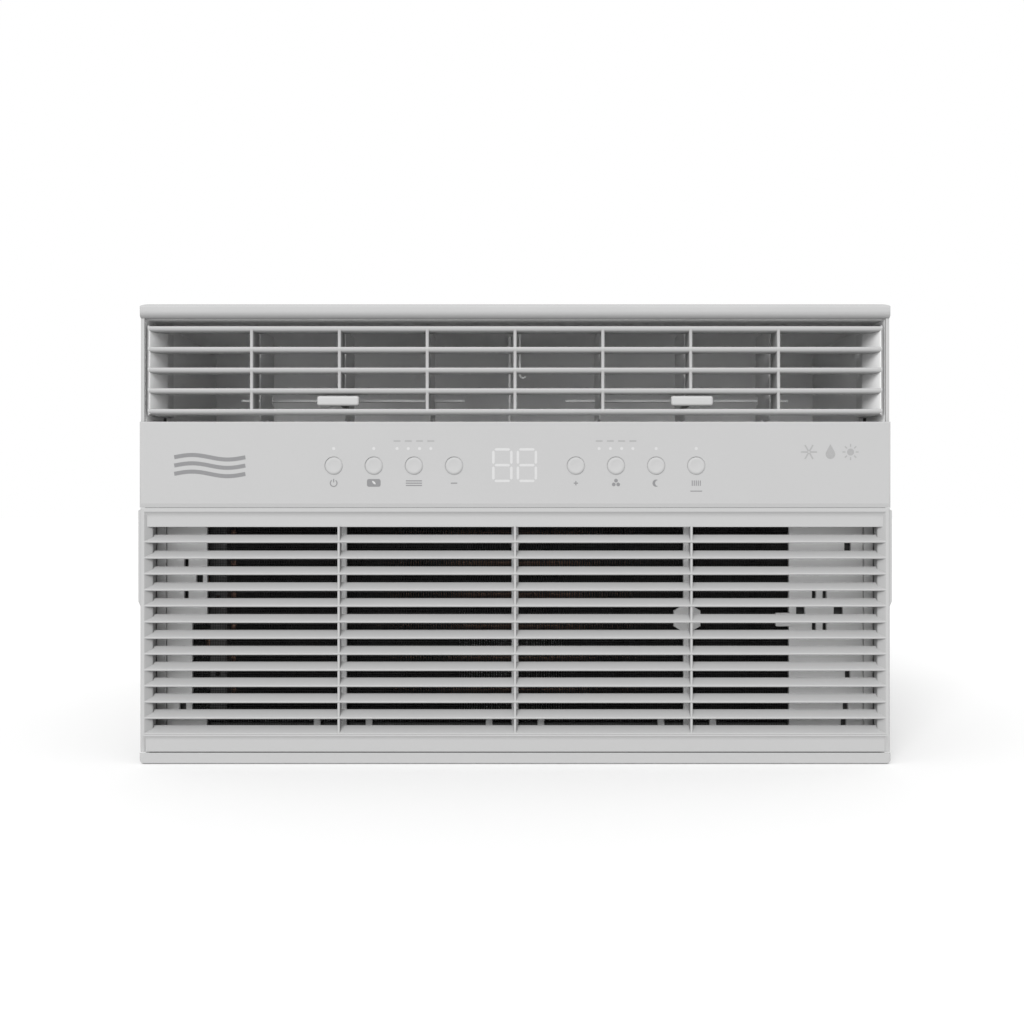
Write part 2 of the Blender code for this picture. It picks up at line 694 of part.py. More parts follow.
def outlet_duct():
    """Moulded duct from the blower to the louvres, open at the front and over the scroll."""
    outer_half = CABINET_HALF - SHEET - 0.6 * MM
    inner_half = outer_half - DUCT_WALL
    duct = block(
        "outlet_duct", "grey_plastic",
        (-outer_half, DUCT_FRONT, DUCT_BOTTOM), (outer_half, DUCT_BACK, DUCT_TOP),
    )
    hollow = rectangle(-inner_half, inner_half, DUCT_FLOOR, DUCT_CEILING)
    cut(duct, guide([(hollow, "Y", DUCT_FRONT - 1 * MM, DUCT_BACK - DUCT_WALL)]))
    chute_left = -SCROLL_END_R
    chute_right = SCROLL_START_R * math.cos(math.radians(40))
    mouth = rectangle(chute_left, chute_right, SCROLL_FRONT + 2 * MM, SCROLL_BACK - 4 * MM)
    cut(duct, guide([(mouth, "Z", DUCT_BOTTOM - 1 * MM, DUCT_FLOOR + 1 * MM)]))
    holes = []
    for bank in (-1, 1):
        for place in (-1, 0, 1):
            x = bank * 2 * RIB_PITCH + place * RIB_PITCH
            outline = circle(x, FRONT + VANE_PIVOT, hole_radius(VANE_PIN_R, 8), 8)
            holes.append((outline, "Z", DUCT_BOTTOM - 1 * MM, DUCT_TOP + 1 * MM))
    cut(duct, guide(holes))
    return duct


# --- filter and evaporator -------------------------------------------------------

def filter_frame():
    """Slide-out filter frame with three upright ribs and a round finger pad."""
    outline = rectangle(-FILTER_HALF, FILTER_HALF, FILTER_BOTTOM, FILTER_TOP)
    rear = FILTER_FRONT + FILTER_THICK
    frame = prism("filter_frame", "grey_plastic", outline, "Y", FILTER_FRONT, rear)
    border = 6 * MM
    edges = [-FILTER_HALF + border]
    for x in (-FILTER_RIB_X, 0, FILTER_RIB_X):
        edges.extend((x - FILTER_RIB / 2, x + FILTER_RIB / 2))
    edges.append(FILTER_HALF - border)
    windows = []
    for low, high in zip(edges[::2], edges[1::2]):
        window = rectangle(low, high, FILTER_BOTTOM + border, FILTER_TOP - border)
        windows.append((window, "Y", FILTER_FRONT - 1 * MM, rear + 1 * MM))
    cut(frame, guide(windows))
    pad = circle(FILTER_RIB_X, 105.7 * MM, 12 * MM, 6)
    fuse(frame, guide([(pad, "Y", FILTER_FRONT - 1 * MM, FILTER_FRONT + 1.5 * MM)]))
    return frame


def filter_mesh():
    """Fine net held at the back of the filter frame."""
    face = FILTER_FRONT + FILTER_THICK + GAP
    inset = 3 * MM
    return block(
        "filter_mesh", "filter_net",
        (-FILTER_HALF + inset, face, FILTER_BOTTOM + inset),
        (FILTER_HALF - inset, face + 0.5 * MM, FILTER_TOP - inset),
    )


def evaporator_surround():
    """Inner plate that frames the evaporator, stepped at the left, wide at the right."""
    outline = rectangle(-INNER_HALF + 1.5 * MM, INNER_HALF - 1.5 * MM, 4 * MM, SURROUND_TOP)
    rear = PLATE_FRONT + PLATE_THICK
    plate = prism("evaporator_surround", "grey_plastic", outline, "Y", PLATE_FRONT, rear)
    opening = [
        (-252 * MM, 24 * MM), (213.7 * MM, 24 * MM), (213.7 * MM, 186 * MM),
        (-240.3 * MM, 186 * MM), (-240.3 * MM, 106 * MM), (-252 * MM, 106 * MM),
    ]
    cut(plate, guide([(opening, "Y", PLATE_FRONT - 1 * MM, rear + 1 * MM)]))
    tab = rectangle(202 * MM, 215 * MM, 100 * MM, 110.5 * MM)
    bosses = [
        (tab, "Y", PLATE_FRONT - 0.5 * MM, PLATE_FRONT + 1.5 * MM),
        (circle(237 * MM, 121 * MM, 4 * MM, 8), "Y", PLATE_FRONT - 3 * MM, PLATE_FRONT + 1 * MM),
        (circle(-262 * MM, 142 * MM, 4 * MM, 8), "Y", PLATE_FRONT - 3 * MM, PLATE_FRONT + 1 * MM),
    ]
    fuse(plate, guide(bosses))
    return plate


def return_bend(x, side, y, middle, reach):
    """One U-shaped tube end as a closed mesh, buried 3 mm in the fins at both ends."""
    inside = x - side * (reach + 3 * MM)
    points = [(inside, middle - COIL_PITCH / 2)]
    for step in range(5):
        angle = math.radians(-90 + 45 * step)
        points.append((
            x + side * COIL_PITCH / 2 * math.cos(angle), middle + COIL_PITCH / 2 * math.sin(angle),
        ))
    points.append((inside, middle + COIL_PITCH / 2))
    mesh = bmesh.new()
    sides = 6
    rings = []
    for index, (a, b) in enumerate(points):
        before = points[max(index - 1, 0)]
        after = points[min(index + 1, len(points) - 1)]
        length = math.hypot(after[0] - before[0], after[1] - before[1])
        across = (-(after[1] - before[1]) / length, (after[0] - before[0]) / length)
        ring = []
        for u, v in circle(0, 0, COIL_TUBE_R, sides):
            ring.append(mesh.verts.new((a + across[0] * u, y + v, b + across[1] * u)))
        rings.append(ring)
    for first, second in zip(rings, rings[1:]):
        for index in range(sides):
            after = (index + 1) % sides
            mesh.faces.new((first[index], first[after], second[after], second[index]))
    mesh.faces.new(rings[0])
    mesh.faces.new(rings[-1])
    return finish("bend", mesh, "copper")


def coil(name, left, right, front, back, bottom, top, rows, reach):
    """Finned block with the copper return bends that stick out of both ends.

    reach is how far the centre of a bend lies beyond the fins.
    """
    fins = block(name, "aluminium_fins", (left, front, bottom), (right, back, top))
    middle_y = (front + back) / 2
    first_z = (bottom + top) / 2 - (rows - 1) * COIL_PITCH / 2
    for end, side, first_row in ((right, 1, 0), (left, -1, 1)):
        for row in range(first_row, rows - 1, 2):
            middle = first_z + (row + 0.5) * COIL_PITCH
            fuse(fins, return_bend(end + side * reach, side, middle_y, middle, reach))
    return fins


def end_plate(name, x, front, back, bottom, top, rows, centre_bottom, centre_top):
    """Sheet end plate of a coil, pierced where the tubes pass."""
    outline = rectangle(front, back, bottom, top)
    plate = prism(name, "zinc_steel", outline, "X", x - 0.6 * MM, x + 0.6 * MM)
    first_z = (centre_bottom + centre_top) / 2 - (rows - 1) * COIL_PITCH / 2
    middle_y = (front + back) / 2
    holes = []
    for row in range(rows):
        hole = circle(middle_y, first_z + row * COIL_PITCH, COIL_TUBE_R + 1.2 * MM, 6)
        holes.append((hole, "X", x - 2 * MM, x + 2 * MM))
    cut(plate, guide(holes))
    return plate


EVAPORATOR = {"left": -220 * MM, "right": 215 * MM, "front": FRONT + 50 * MM,
              "back": FRONT + 88 * MM, "bottom": 24 * MM, "top": 244 * MM, "rows": 8}
CONDENSER = {"left": -228 * MM, "right": 228 * MM, "front": 202 * MM,
             "back": 242 * MM, "bottom": 18 * MM, "top": 326 * MM, "rows": 12}


def heat_exchangers():
    """Evaporator and condenser, each with its two end plates."""
    made = []
    for label, size in (("evaporator", EVAPORATOR), ("condenser", CONDENSER)):
        made.append(coil(
            label + "_coil", size["left"], size["right"], size["front"], size["back"],
            size["bottom"], size["top"], size["rows"], 14 * MM,
        ))
        for side, x in (("left", size["left"] - 8 * MM), ("right", size["right"] + 8 * MM)):
            made.append(end_plate(
                label + "_end_plate_" + side, x, size["front"], size["back"],
                size["bottom"] - 4 * MM, size["top"] + 2 * MM, size["rows"],
                size["bottom"], size["top"],
            ))
    return made


# --- blower, motor and condenser fan -----------------------------------------------

def scroll_path():
    """Centre line of the scroll wall: down from the cut-off, round the wheel, up the chute."""
    start = 40
    end = -180
    steps = 16
    top = DUCT_BOTTOM - GAP
    points = [(SCROLL_START_R * math.cos(math.radians(start)), top)]
    for step in range(steps + 1):
        share = step / steps
        radius = SCROLL_START_R + (SCROLL_END_R - SCROLL_START_R) * share
        angle = math.radians(start + (end - start) * share)
        points.append((radius * math.cos(angle), SHAFT_Z + radius * math.sin(angle)))
    points.append((-SCROLL_END_R, top))
    return points


def thicken(points, thickness):
    """Closed outline of an open path given a thickness to its right-hand side."""
    offset = []
    for index, (a, b) in enumerate(points):
        before = points[max(index - 1, 0)]
        after = points[min(index + 1, len(points) - 1)]
        length = math.hypot(after[0] - before[0], after[1] - before[1])
        normal = ((after[1] - before[1]) / length, -(after[0] - before[0]) / length)
        offset.append((a + normal[0] * thickness, b + normal[1] * thickness))
    return points + offset[::-1]


def blower_scroll():
    """Scroll housing: spiral wall and a rear plate with a hole for the shaft."""
    path = scroll_path()
    wall = thicken(path, -2.5 * MM)
    scroll = prism("blower_scroll", "grey_plastic", wall, "Y", SCROLL_FRONT, SCROLL_BACK - 1 * MM)
    top = DUCT_BOTTOM - GAP
    outline = [(a, min(b, top)) for a, b in wall[len(path):]]
    plate = guide([(outline, "Y", SCROLL_BACK - 2.5 * MM, SCROLL_BACK)])
    fuse(scroll, plate)
    cut(scroll, guide([(circle(0, SHAFT_Z, 14 * MM, 12), "Y", SCROLL_BACK - 5 * MM, SCROLL_BACK + 5 * MM)]))
    return scroll


def blower_orifice():
    """Front plate of the scroll with the round air inlet."""
    outline = rectangle(-130 * MM, 130 * MM, 30 * MM, DUCT_BOTTOM - GAP)
    face = SCROLL_FRONT - GAP
    plate = prism("blower_orifice", "grey_plastic", outline, "Y", face - 2 * MM, face)
    inlet = circle(0, SHAFT_Z, WHEEL_R - 8 * MM, 24)
    cut(plate, guide([(inlet, "Y", face - 5 * MM, face + 5 * MM)]))
    return plate


def blower_wheel():
    """Centrifugal wheel: back disc with a hub, curved blades and a front ring."""
    hub_bore = SHAFT_R + GAP
    disc = prism(
        "blower_wheel", "black_plastic", circle(0, SHAFT_Z, WHEEL_R, 24), "Y",
        WHEEL_BACK - 2.5 * MM, WHEEL_BACK, 30,
    )
    blades = []
    count = 16
    for index in range(count):
        turn = 2 * math.pi * index / count
        corners = []
        for radius, lead in ((62, -6), (62, -4.2), (76.5, 4.2), (76.5, 2.4)):
            angle = turn + math.radians(lead)
            corners.append((radius * MM * math.cos(angle), SHAFT_Z + radius * MM * math.sin(angle)))
        blades.append((corners, "Y", WHEEL_FRONT + 1 * MM, WHEEL_BACK - 1 * MM))
    fuse(disc, guide(blades))
    ring = guide([(circle(0, SHAFT_Z, WHEEL_R, 24), "Y", WHEEL_FRONT, WHEEL_FRONT + 5 * MM)])
    cut(ring, guide([(circle(0, SHAFT_Z, WHEEL_R - 14 * MM, 24), "Y", WHEEL_FRONT - 1 * MM, -100 * MM)]))
    fuse(disc, ring)
    hub = guide([(circle(0, SHAFT_Z, 13 * MM, 16), "Y", WHEEL_BACK - 30 * MM, WHEEL_BACK - 1 * MM)])
    fuse(disc, hub)
    cut(disc, guide([(circle(0, SHAFT_Z, hub_bore / math.cos(math.pi / 12), 12), "Y",
                      WHEEL_FRONT, WHEEL_BACK + 5 * MM)]))
    return set_origin(disc, (0, 0, SHAFT_Z))


def fan_shaft():
    """Steel shaft through the motor, carrying the wheel in front and the fan behind."""
    outline = circle(0, SHAFT_Z, SHAFT_R, 12)
    shaft = prism("fan_shaft", "zinc_steel", outline, "Y", WHEEL_BACK - 30 * MM, FAN_BACK + 2 * MM, 40)
    return set_origin(shaft, (0, 0, SHAFT_Z))


def condenser_fan():
    """Axial fan with pitched blades and the slinger ring that lifts pan water."""
    hub = prism(
        "condenser_fan", "black_plastic", circle(0, SHAFT_Z, 30 * MM, 16), "Y",
        FAN_FRONT + 4 * MM, FAN_BACK - 2 * MM, 40,
    )
    ring_front = FAN_FRONT + 8 * MM
    ring = guide([(circle(0, SHAFT_Z, FAN_R, 24), "Y", ring_front, ring_front + 12 * MM)])
    cut(ring, guide([(circle(0, SHAFT_Z, FAN_R - 3 * MM, 24), "Y", ring_front - 5 * MM,
                      ring_front + 20 * MM)]))
    fuse(hub, ring)
    for index in range(5):
        turn = 2 * math.pi * index / 5
        mesh = bmesh.new()
        corners = []
        for radius, half_turn, twist in ((26, 24, 9), (80, 26, 7), (138.5, 27, 5)):
            for lead in (-1, 1):
                angle = turn + lead * math.radians(half_turn)
                middle = (FAN_FRONT + FAN_BACK) / 2
                for face in (-1, 1):
                    corners.append(mesh.verts.new((
                        radius * MM * math.cos(angle),
                        middle + lead * twist * MM + face * 1.1 * MM,
                        SHAFT_Z + radius * MM * math.sin(angle),
                    )))
        for station in (0, 4):
            a, b, c, d = corners[station:station + 4]
            e, f, g, h = corners[station + 4:station + 8]
            mesh.faces.new((a, c, g, e))
            mesh.faces.new((b, f, h, d))
            mesh.faces.new((a, e, f, b))
            mesh.faces.new((c, d, h, g))
        mesh.faces.new((corners[0], corners[1], corners[3], corners[2]))
        mesh.faces.new((corners[8], corners[10], corners[11], corners[9]))
        fuse(hub, finish("blade", mesh, "black_plastic"))
    bore = (SHAFT_R + GAP) / math.cos(math.pi / 12)
    cut(hub, guide([(circle(0, SHAFT_Z, bore, 12), "Y", FAN_FRONT - 5 * MM, FAN_BACK + 5 * MM)]))
    return set_origin(hub, (0, 0, SHAFT_Z))


def fan_motor():
    """Double-shaft fan motor with a through bore and a boss at each end."""
    body = prism(
        "fan_motor", "zinc_steel", circle(0, SHAFT_Z, MOTOR_R, 24), "Y",
        MOTOR_FRONT, MOTOR_BACK, 40,
    )
    boss = circle(0, SHAFT_Z, 18 * MM, 16)
    fuse(body, guide([(boss, "Y", MOTOR_FRONT - 8 * MM, MOTOR_BACK + 6 * MM)]))
    bore = (SHAFT_R + GAP) / math.cos(math.pi / 12)
    cut(body, guide([(circle(0, SHAFT_Z, bore, 12), "Y", MOTOR_FRONT - 20 * MM, MOTOR_BACK + 20 * MM)]))
    return body


def motor_bracket():
    """Angle bracket from the base pan to the front of the motor."""
    floor = PAN_FLOOR + GAP
    back = MOTOR_FRONT - GAP
    side = [
        (back - 2 * MM, floor), (back + 40 * MM, floor), (back + 40 * MM, floor + 2 * MM),
        (back, floor + 2 * MM), (back, 222 * MM), (back - 2 * MM, 222 * MM),
    ]
    bracket = prism("motor_bracket", "zinc_steel", side, "X", -62 * MM, 62 * MM)
    bore = circle(0, SHAFT_Z, 18.6 * MM, 16)
    cut(bracket, guide([(bore, "Y", back - 8 * MM, back + 8 * MM)]))
    return bracket


def bulkhead():
    """Insulated wall between the room side and the outdoor side."""
    outline = rectangle(-270 * MM, 270 * MM, PAN_FLOOR + GAP, DUCT_TOP + 3 * MM)
    wall = prism("bulkhead", "foam", outline, "Y", BULKHEAD - 8 * MM, BULKHEAD)
    passages = [
        (circle(0, SHAFT_Z, 14 * MM, 12), "Y", BULKHEAD - 20 * MM, BULKHEAD + 20 * MM),
        (circle(-240 * MM, 60 * MM, 14 * MM, 10), "Y", BULKHEAD - 20 * MM, BULKHEAD + 20 * MM),
    ]
    cut(wall, guide(passages))
    return wall


def condenser_shroud():
    """Fan shroud: a plate with a round throat and side walls back to the condenser."""
    low = PAN_FLOOR + GAP
    high = 332 * MM
    half = 262 * MM
    outline = rectangle(-half, half, low, high)
    shroud = prism("condenser_shroud", "black_plastic", outline, "Y", SHROUD_FRONT, SHROUD_BACK)
    inside = rectangle(-half + 2.5 * MM, half - 2.5 * MM, low - 5 * MM, high - 2.5 * MM)
    cut(shroud, guide([(inside, "Y", SHROUD_FRONT + 2.5 * MM, SHROUD_BACK + 5 * MM)]))
    collar_depth = 36 * MM
    collar = guide([(circle(0, SHAFT_Z, FAN_R + 6 * MM, 24), "Y", SHROUD_FRONT + 1 * MM,
                     SHROUD_FRONT + collar_depth)])
    fuse(shroud, collar)
    throat = circle(0, SHAFT_Z, FAN_R + 3.5 * MM, 24)
    cut(shroud, guide([(throat, "Y", SHROUD_FRONT - 5 * MM, SHROUD_FRONT + collar_depth + 5 * MM)]))
    return shroud


# --- refrigerant circuit -----------------------------------------------------------

def compressor():
    """Hermetic rotary compressor on three rubber feet's plate."""
    foot = PAN_FLOOR + 12 * MM
    profile = [
        (0, foot), (50 * MM, foot), (COMPRESSOR_R, foot + 12 * MM), (COMPRESSOR_R, 186 * MM),
        (50 * MM, 200 * MM), (26 * MM, 207 * MM), (0, 209 * MM),
    ]
    shell = turned("compressor", "black_steel", profile, (COMPRESSOR_X, COMPRESSOR_Y), "Z", 24)
    plate = []
    for index in range(3):
        angle = math.radians(90 + 120 * index)
        plate.append((
            COMPRESSOR_X + 76 * MM * math.cos(angle), COMPRESSOR_Y + 76 * MM * math.sin(angle),
        ))
    fuse(shell, guide([(plate, "Z", foot + 1 * MM, foot + 4 * MM)]))
    return shell


def compressor_feet():
    """Rubber grommets between the compressor's plate and the base pan."""
    feet = []
    for index in range(3):
        angle = math.radians(90 + 120 * index)
        x = COMPRESSOR_X + 66 * MM * math.cos(angle)
        y = COMPRESSOR_Y + 66 * MM * math.sin(angle)
        profile = [
            (0, PAN_FLOOR + GAP), (9 * MM, PAN_FLOOR + GAP), (7 * MM, 8 * MM),
            (9 * MM, PAN_FLOOR + 13 * MM - GAP), (0, PAN_FLOOR + 13 * MM - GAP),
        ]
        feet.append(turned("compressor_foot_" + str(index + 1), "rubber", profile, (x, y), "Z", 10))
    return feet


def accumulator():
    """Suction accumulator beside the compressor."""
    profile = [
        (0, 50 * MM), (10 * MM, 52 * MM), (21 * MM, 66 * MM), (21 * MM, 160 * MM),
        (10 * MM, 174 * MM), (0, 176 * MM),
    ]
    return turned("accumulator", "black_steel", profile, (233 * MM, COMPRESSOR_Y), "Z", 14)


def refrigerant_pipes():
    """Discharge, suction and liquid lines as bent copper tubes."""
    discharge = rounded([
        (COMPRESSOR_X, COMPRESSOR_Y, 209.5 * MM), (COMPRESSOR_X, COMPRESSOR_Y, 300 * MM),
        (COMPRESSOR_X, 96 * MM, 300 * MM),
    ], 18 * MM)
    suction = rounded([
        (233 * MM, COMPRESSOR_Y, 176.5 * MM), (233 * MM, COMPRESSOR_Y, 262 * MM),
        (233 * MM, -50 * MM, 262 * MM),
    ], 18 * MM)
    liquid = rounded([
        (-240 * MM, -172 * MM, 60 * MM), (-240 * MM, 60 * MM, 60 * MM),
        (-240 * MM, 60 * MM, 200 * MM), (-240 * MM, 100 * MM, 200 * MM),
    ], 16 * MM)
    return [
        pipe("discharge_pipe", "copper", discharge, 4 * MM),
        pipe("suction_pipe", "copper", suction, 5 * MM),
        pipe("liquid_pipe", "copper", liquid, 3.2 * MM),
    ]


def filter_drier():
    """Small filter drier beside the liquid line."""
    profile = [
        (0, 80 * MM), (4 * MM, 82 * MM), (10 * MM, 92 * MM), (10 * MM, 150 * MM),
        (4 * MM, 160 * MM), (0, 162 * MM),
    ]
    return turned("filter_drier", "copper", profile, (-215 * MM, 40 * MM), "Z", 12)


# --- electrical box -----------------------------------------------------------------

def control_box():
    """Open-topped steel box beside the scroll that holds the power board."""
    low = (165 * MM, -160 * MM, 30 * MM)
    high = (268 * MM, -76 * MM, 240 * MM)
    box = block("control_box", "zinc_steel", low, high)
    wall = 1.5 * MM
    cut(box, guide([(rectangle(low[0] + wall, high[0] - wall, low[2] + wall, high[2] + 5 * MM), "Y",
                     low[1] - 5 * MM, high[1] - wall)]))
    return box


def power_board():
    """Inverter board with its finned heat sink."""
    board = block(
        "power_board", "circuit_board",
        (176 * MM, -92 * MM, 40 * MM), (258 * MM, -90 * MM, 230 * MM),
    )
    sink = [(rectangle(186 * MM, 248 * MM, 150 * MM, 210 * MM), "Y", -104 * MM, -91 * MM)]
    fuse(board, guide(sink))
    fins = []
    for index in range(7):
        x = 188 * MM + index * 9 * MM
        fins.append((rectangle(x, x + 3 * MM, 150 * MM, 210 * MM), "Y", -128 * MM, -103 * MM))
    fuse(board, guide(fins))
    parts = [
        (rectangle(190 * MM, 216 * MM, 60 * MM, 120 * MM), "Y", -118 * MM, -91 * MM),
        (circle(238 * MM, 90 * MM, 11 * MM, 10), "Y", -126 * MM, -91 * MM),
    ]
    fuse(board, guide(parts))
    return board


def cord_gland():
    """Strain relief bush in the right side of the cabinet."""
    outer = circle(-150 * MM, 40 * MM, 9 * MM, 14)
    x = CABINET_HALF
    gland = prism("cord_gland", "rubber", circle(-150 * MM, 40 * MM, 6.6 * MM, 14), "X",
                  x - 6 * MM, x + 1 * MM)
    fuse(gland, guide([(outer, "X", x + GAP, x + 2.6 * MM)]))
    cut(gland, guide([(circle(-150 * MM, 40 * MM, 3.8 * MM, 12), "X", x - 20 * MM, x + 20 * MM)]))
    return gland


# --- cabinet -----------------------------------------------------------------

def base_pan():
    """Pressed pan that everything stands on, with turned-up flanges and a drain hole."""
    half = CABINET_HALF - SHEET - 0.6 * MM
    front = FRONT + PANEL_DEPTH + 0.5 * MM
    back = CABINET_BACK - SHEET - GAP
    pan = block("base_pan", "zinc_steel", (-half, front, 0), (half, back, PAN_FLANGE))
    inside = rectangle(-half + SHEET, half - SHEET, front + SHEET, back - SHEET)
    cut(pan, guide([(inside, "Z", PAN_FLOOR, PAN_FLANGE + 5 * MM)]))
    cut(pan, guide([(circle(-200 * MM, 225 * MM, 9 * MM, 14), "Z", -5 * MM, PAN_FLOOR + 5 * MM)]))
    return pan


def drain_plug():
    """Rubber plug in the drain hole of the base pan."""
    profile = [
        (0, 0.4 * MM), (8.6 * MM, 0.4 * MM), (8.6 * MM, PAN_FLOOR + GAP),
        (11.5 * MM, PAN_FLOOR + GAP), (11.5 * MM, PAN_FLOOR + 2.5 * MM), (0, PAN_FLOOR + 4 * MM),
    ]
    return turned("drain_plug", "rubber", profile, (-200 * MM, 225 * MM), "Z", 14)


def louvre_slots(axis, low, high):
    """Outlines of the side or top ventilation slots, as cutting prisms."""
    slots = []
    if axis == "X":
        for row in range(8):
            z = 120 * MM + row * 24 * MM
            for y in (-50 * MM, 30 * MM):
                slots.append((rectangle(y, y + 70 * MM, z, z + 5 * MM), "X", low, high))
        return slots
    for row in range(5):
        y = -40 * MM + row * 26 * MM
        for x in (-200 * MM, 70 * MM):
            slots.append((rectangle(x, x + 130 * MM, y, y + 5 * MM), "Z", low, high))
    return slots


def cabinet():
    """Wrap-round steel cabinet: two sides, the top, and a flange round the open back."""
    half = CABINET_HALF
    outer = [
        (-half, CABINET_BOTTOM), (half, CABINET_BOTTOM), (half, CABINET_TOP - 2 * MM),
        (half - 2 * MM, CABINET_TOP), (-half + 2 * MM, CABINET_TOP), (-half, CABINET_TOP - 2 * MM),
    ]
    wrap = prism("cabinet", "painted_steel", outer, "Y", CABINET_FRONT, CABINET_BACK)
    inner_half = half - SHEET
    inner = [
        (-inner_half, -5 * MM), (inner_half, -5 * MM), (inner_half, CABINET_TOP - 2.6 * MM),
        (inner_half - 1.6 * MM, CABINET_TOP - SHEET), (-inner_half + 1.6 * MM, CABINET_TOP - SHEET),
        (-inner_half, CABINET_TOP - 2.6 * MM),
    ]
    cut(wrap, guide([(inner, "Y", CABINET_FRONT - 5 * MM, CABINET_BACK - SHEET)]))
    flange = 12 * MM
    opening = rectangle(-half + flange, half - flange, -5 * MM, CABINET_TOP - flange)
    cut(wrap, guide([(opening, "Y", CABINET_BACK - 10 * MM, CABINET_BACK + 10 * MM)]))
    cut(wrap, guide(louvre_slots("X", -half - 5 * MM, -half + 5 * MM)))
    cut(wrap, guide(louvre_slots("X", half - 5 * MM, half + 5 * MM)))
    cut(wrap, guide(louvre_slots("Z", CABINET_TOP - 5 * MM, CABINET_TOP + 5 * MM)))
    cut(wrap, guide([(circle(-150 * MM, 40 * MM, 7.1 * MM, 14), "X", half - 5 * MM, half + 5 * MM)]))
    # Raised seats for the top rail and for the two side channels.
    root = 0.5 * MM
    side_seat = rectangle(SEAT_FRONT, SEAT_BACK, 20 * MM, 320 * MM)
    top_seat = rectangle(-SEAT_HALF, SEAT_HALF, SEAT_FRONT, SEAT_BACK)
    fuse(wrap, guide([
        (side_seat, "X", -half - SEAT_RISE, -half + root),
        (side_seat, "X", half - root, half + SEAT_RISE),
        (top_seat, "Z", CABINET_TOP - root, CABINET_TOP + SEAT_RISE),
    ]))
    return wrap


def rear_guard():
    """Outdoor guard over the condenser: a frame with level bars on upright ribs."""
    half = CABINET_HALF
    face = CABINET_BACK + GAP
    frame = prism("rear_guard", "painted_steel",
                  rectangle(-half, half, CABINET_BOTTOM, CABINET_TOP), "Y", face, BACK)
    border = 14 * MM
    opening = rectangle(-half + border, half - border, CABINET_BOTTOM + border, CABINET_TOP - border)
    cut(frame, guide([(opening, "Y", face - 5 * MM, BACK + 5 * MM)]))
    ribs = []
    for place in (-1, 0, 1):
        x = place * 135 * MM
        rib = rectangle(x - 2 * MM, x + 2 * MM, CABINET_BOTTOM + 5 * MM, CABINET_TOP - 5 * MM)
        ribs.append((rib, "Y", face + 2.6 * MM, BACK - 0.4 * MM))
    fuse(frame, guide(ribs))
    bars = []
    count = 11
    step = (CABINET_TOP - CABINET_BOTTOM - 2 * border) / (count + 1)
    for index in range(count):
        z = CABINET_BOTTOM + border + (index + 1) * step
        bar = rectangle(-half + 5 * MM, half - 5 * MM, z - 1.5 * MM, z + 1.5 * MM)
        bars.append((bar, "Y", face + 0.6 * MM, BACK - 1.8 * MM))
    fuse(frame, guide(bars))
    return frame


def cabinet_screws():
    """Hex-head sheet screw at each side that holds the cabinet to the base pan."""
    made = []
    head = circle(120 * MM, 12 * MM, 4 * MM, 6)
    for side_name, side in (("left", -1), ("right", 1)):
        x = side * (CABINET_HALF + GAP)
        low, high = sorted((x, x + side * 2.2 * MM))
        made.append(prism("cabinet_screw_" + side_name, "zinc_steel", head, "X", low, high))
    return made


# --- assembly -----------------------------------------------------------------

def build():
    for old in list(bpy.data.objects):
        bpy.data.objects.remove(old)
    front_panel()
    intake_grille()
    for name, x in BUTTON_NAMES:
        button(name, x)
    control_board()
    display_module()
    louvre_cassette()
    for bank, side in (("left", -1), ("right", 1)):
        middle = side * 2 * RIB_PITCH
        for place in (-1, 0, 1):
            made = vane("vane_" + bank + "_" + str(place + 2))
            made.location = (middle + place * RIB_PITCH, FRONT + VANE_PIVOT, 0)
        link_bar("link_bar_" + bank, middle)
        adjuster_tab("adjuster_tab_" + bank, middle)
    outlet_duct()
    filter_frame()
    filter_mesh()
    evaporator_surround()
    heat_exchangers()
    blower_scroll()
    blower_orifice()
    blower_wheel()
    fan_shaft()
    condenser_fan()
    fan_motor()
    motor_bracket()
    bulkhead()
    condenser_shroud()
    compressor()
    compressor_feet()
    accumulator()
    refrigerant_pipes()
    filter_drier()
    control_box()
    power_board()
    cord_gland()
    base_pan()
    drain_plug()
    cabinet()
    rear_guard()
    cabinet_screws()


build()
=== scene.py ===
"""Looks of the window air conditioner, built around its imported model.

Room side faces -Y, width along X, +Z up. Every piece is made in place, rides on a
body of the model, and stands for the plain solids that it replaces. Lengths are in millimetres
until solid() turns a finished mesh into metres.
"""

import math

import bmesh
import bpy
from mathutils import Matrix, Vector


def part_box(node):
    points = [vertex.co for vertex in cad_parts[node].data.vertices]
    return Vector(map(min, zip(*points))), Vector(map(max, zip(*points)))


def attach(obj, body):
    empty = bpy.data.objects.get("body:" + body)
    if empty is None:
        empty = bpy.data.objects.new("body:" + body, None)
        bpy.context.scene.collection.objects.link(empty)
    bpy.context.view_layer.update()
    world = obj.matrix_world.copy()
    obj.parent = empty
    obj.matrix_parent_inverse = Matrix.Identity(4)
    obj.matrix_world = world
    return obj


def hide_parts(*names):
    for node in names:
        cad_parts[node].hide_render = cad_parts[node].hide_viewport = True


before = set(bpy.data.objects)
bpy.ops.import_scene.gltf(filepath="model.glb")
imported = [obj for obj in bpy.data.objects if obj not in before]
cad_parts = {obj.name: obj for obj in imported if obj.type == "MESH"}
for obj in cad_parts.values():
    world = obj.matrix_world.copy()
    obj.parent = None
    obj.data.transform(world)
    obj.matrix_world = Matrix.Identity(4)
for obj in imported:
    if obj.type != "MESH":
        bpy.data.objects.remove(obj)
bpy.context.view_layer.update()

MM = 0.001


def box(node):
    """Lowest and highest corner of a node of the model, in millimetres."""
    return [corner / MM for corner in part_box(node)]



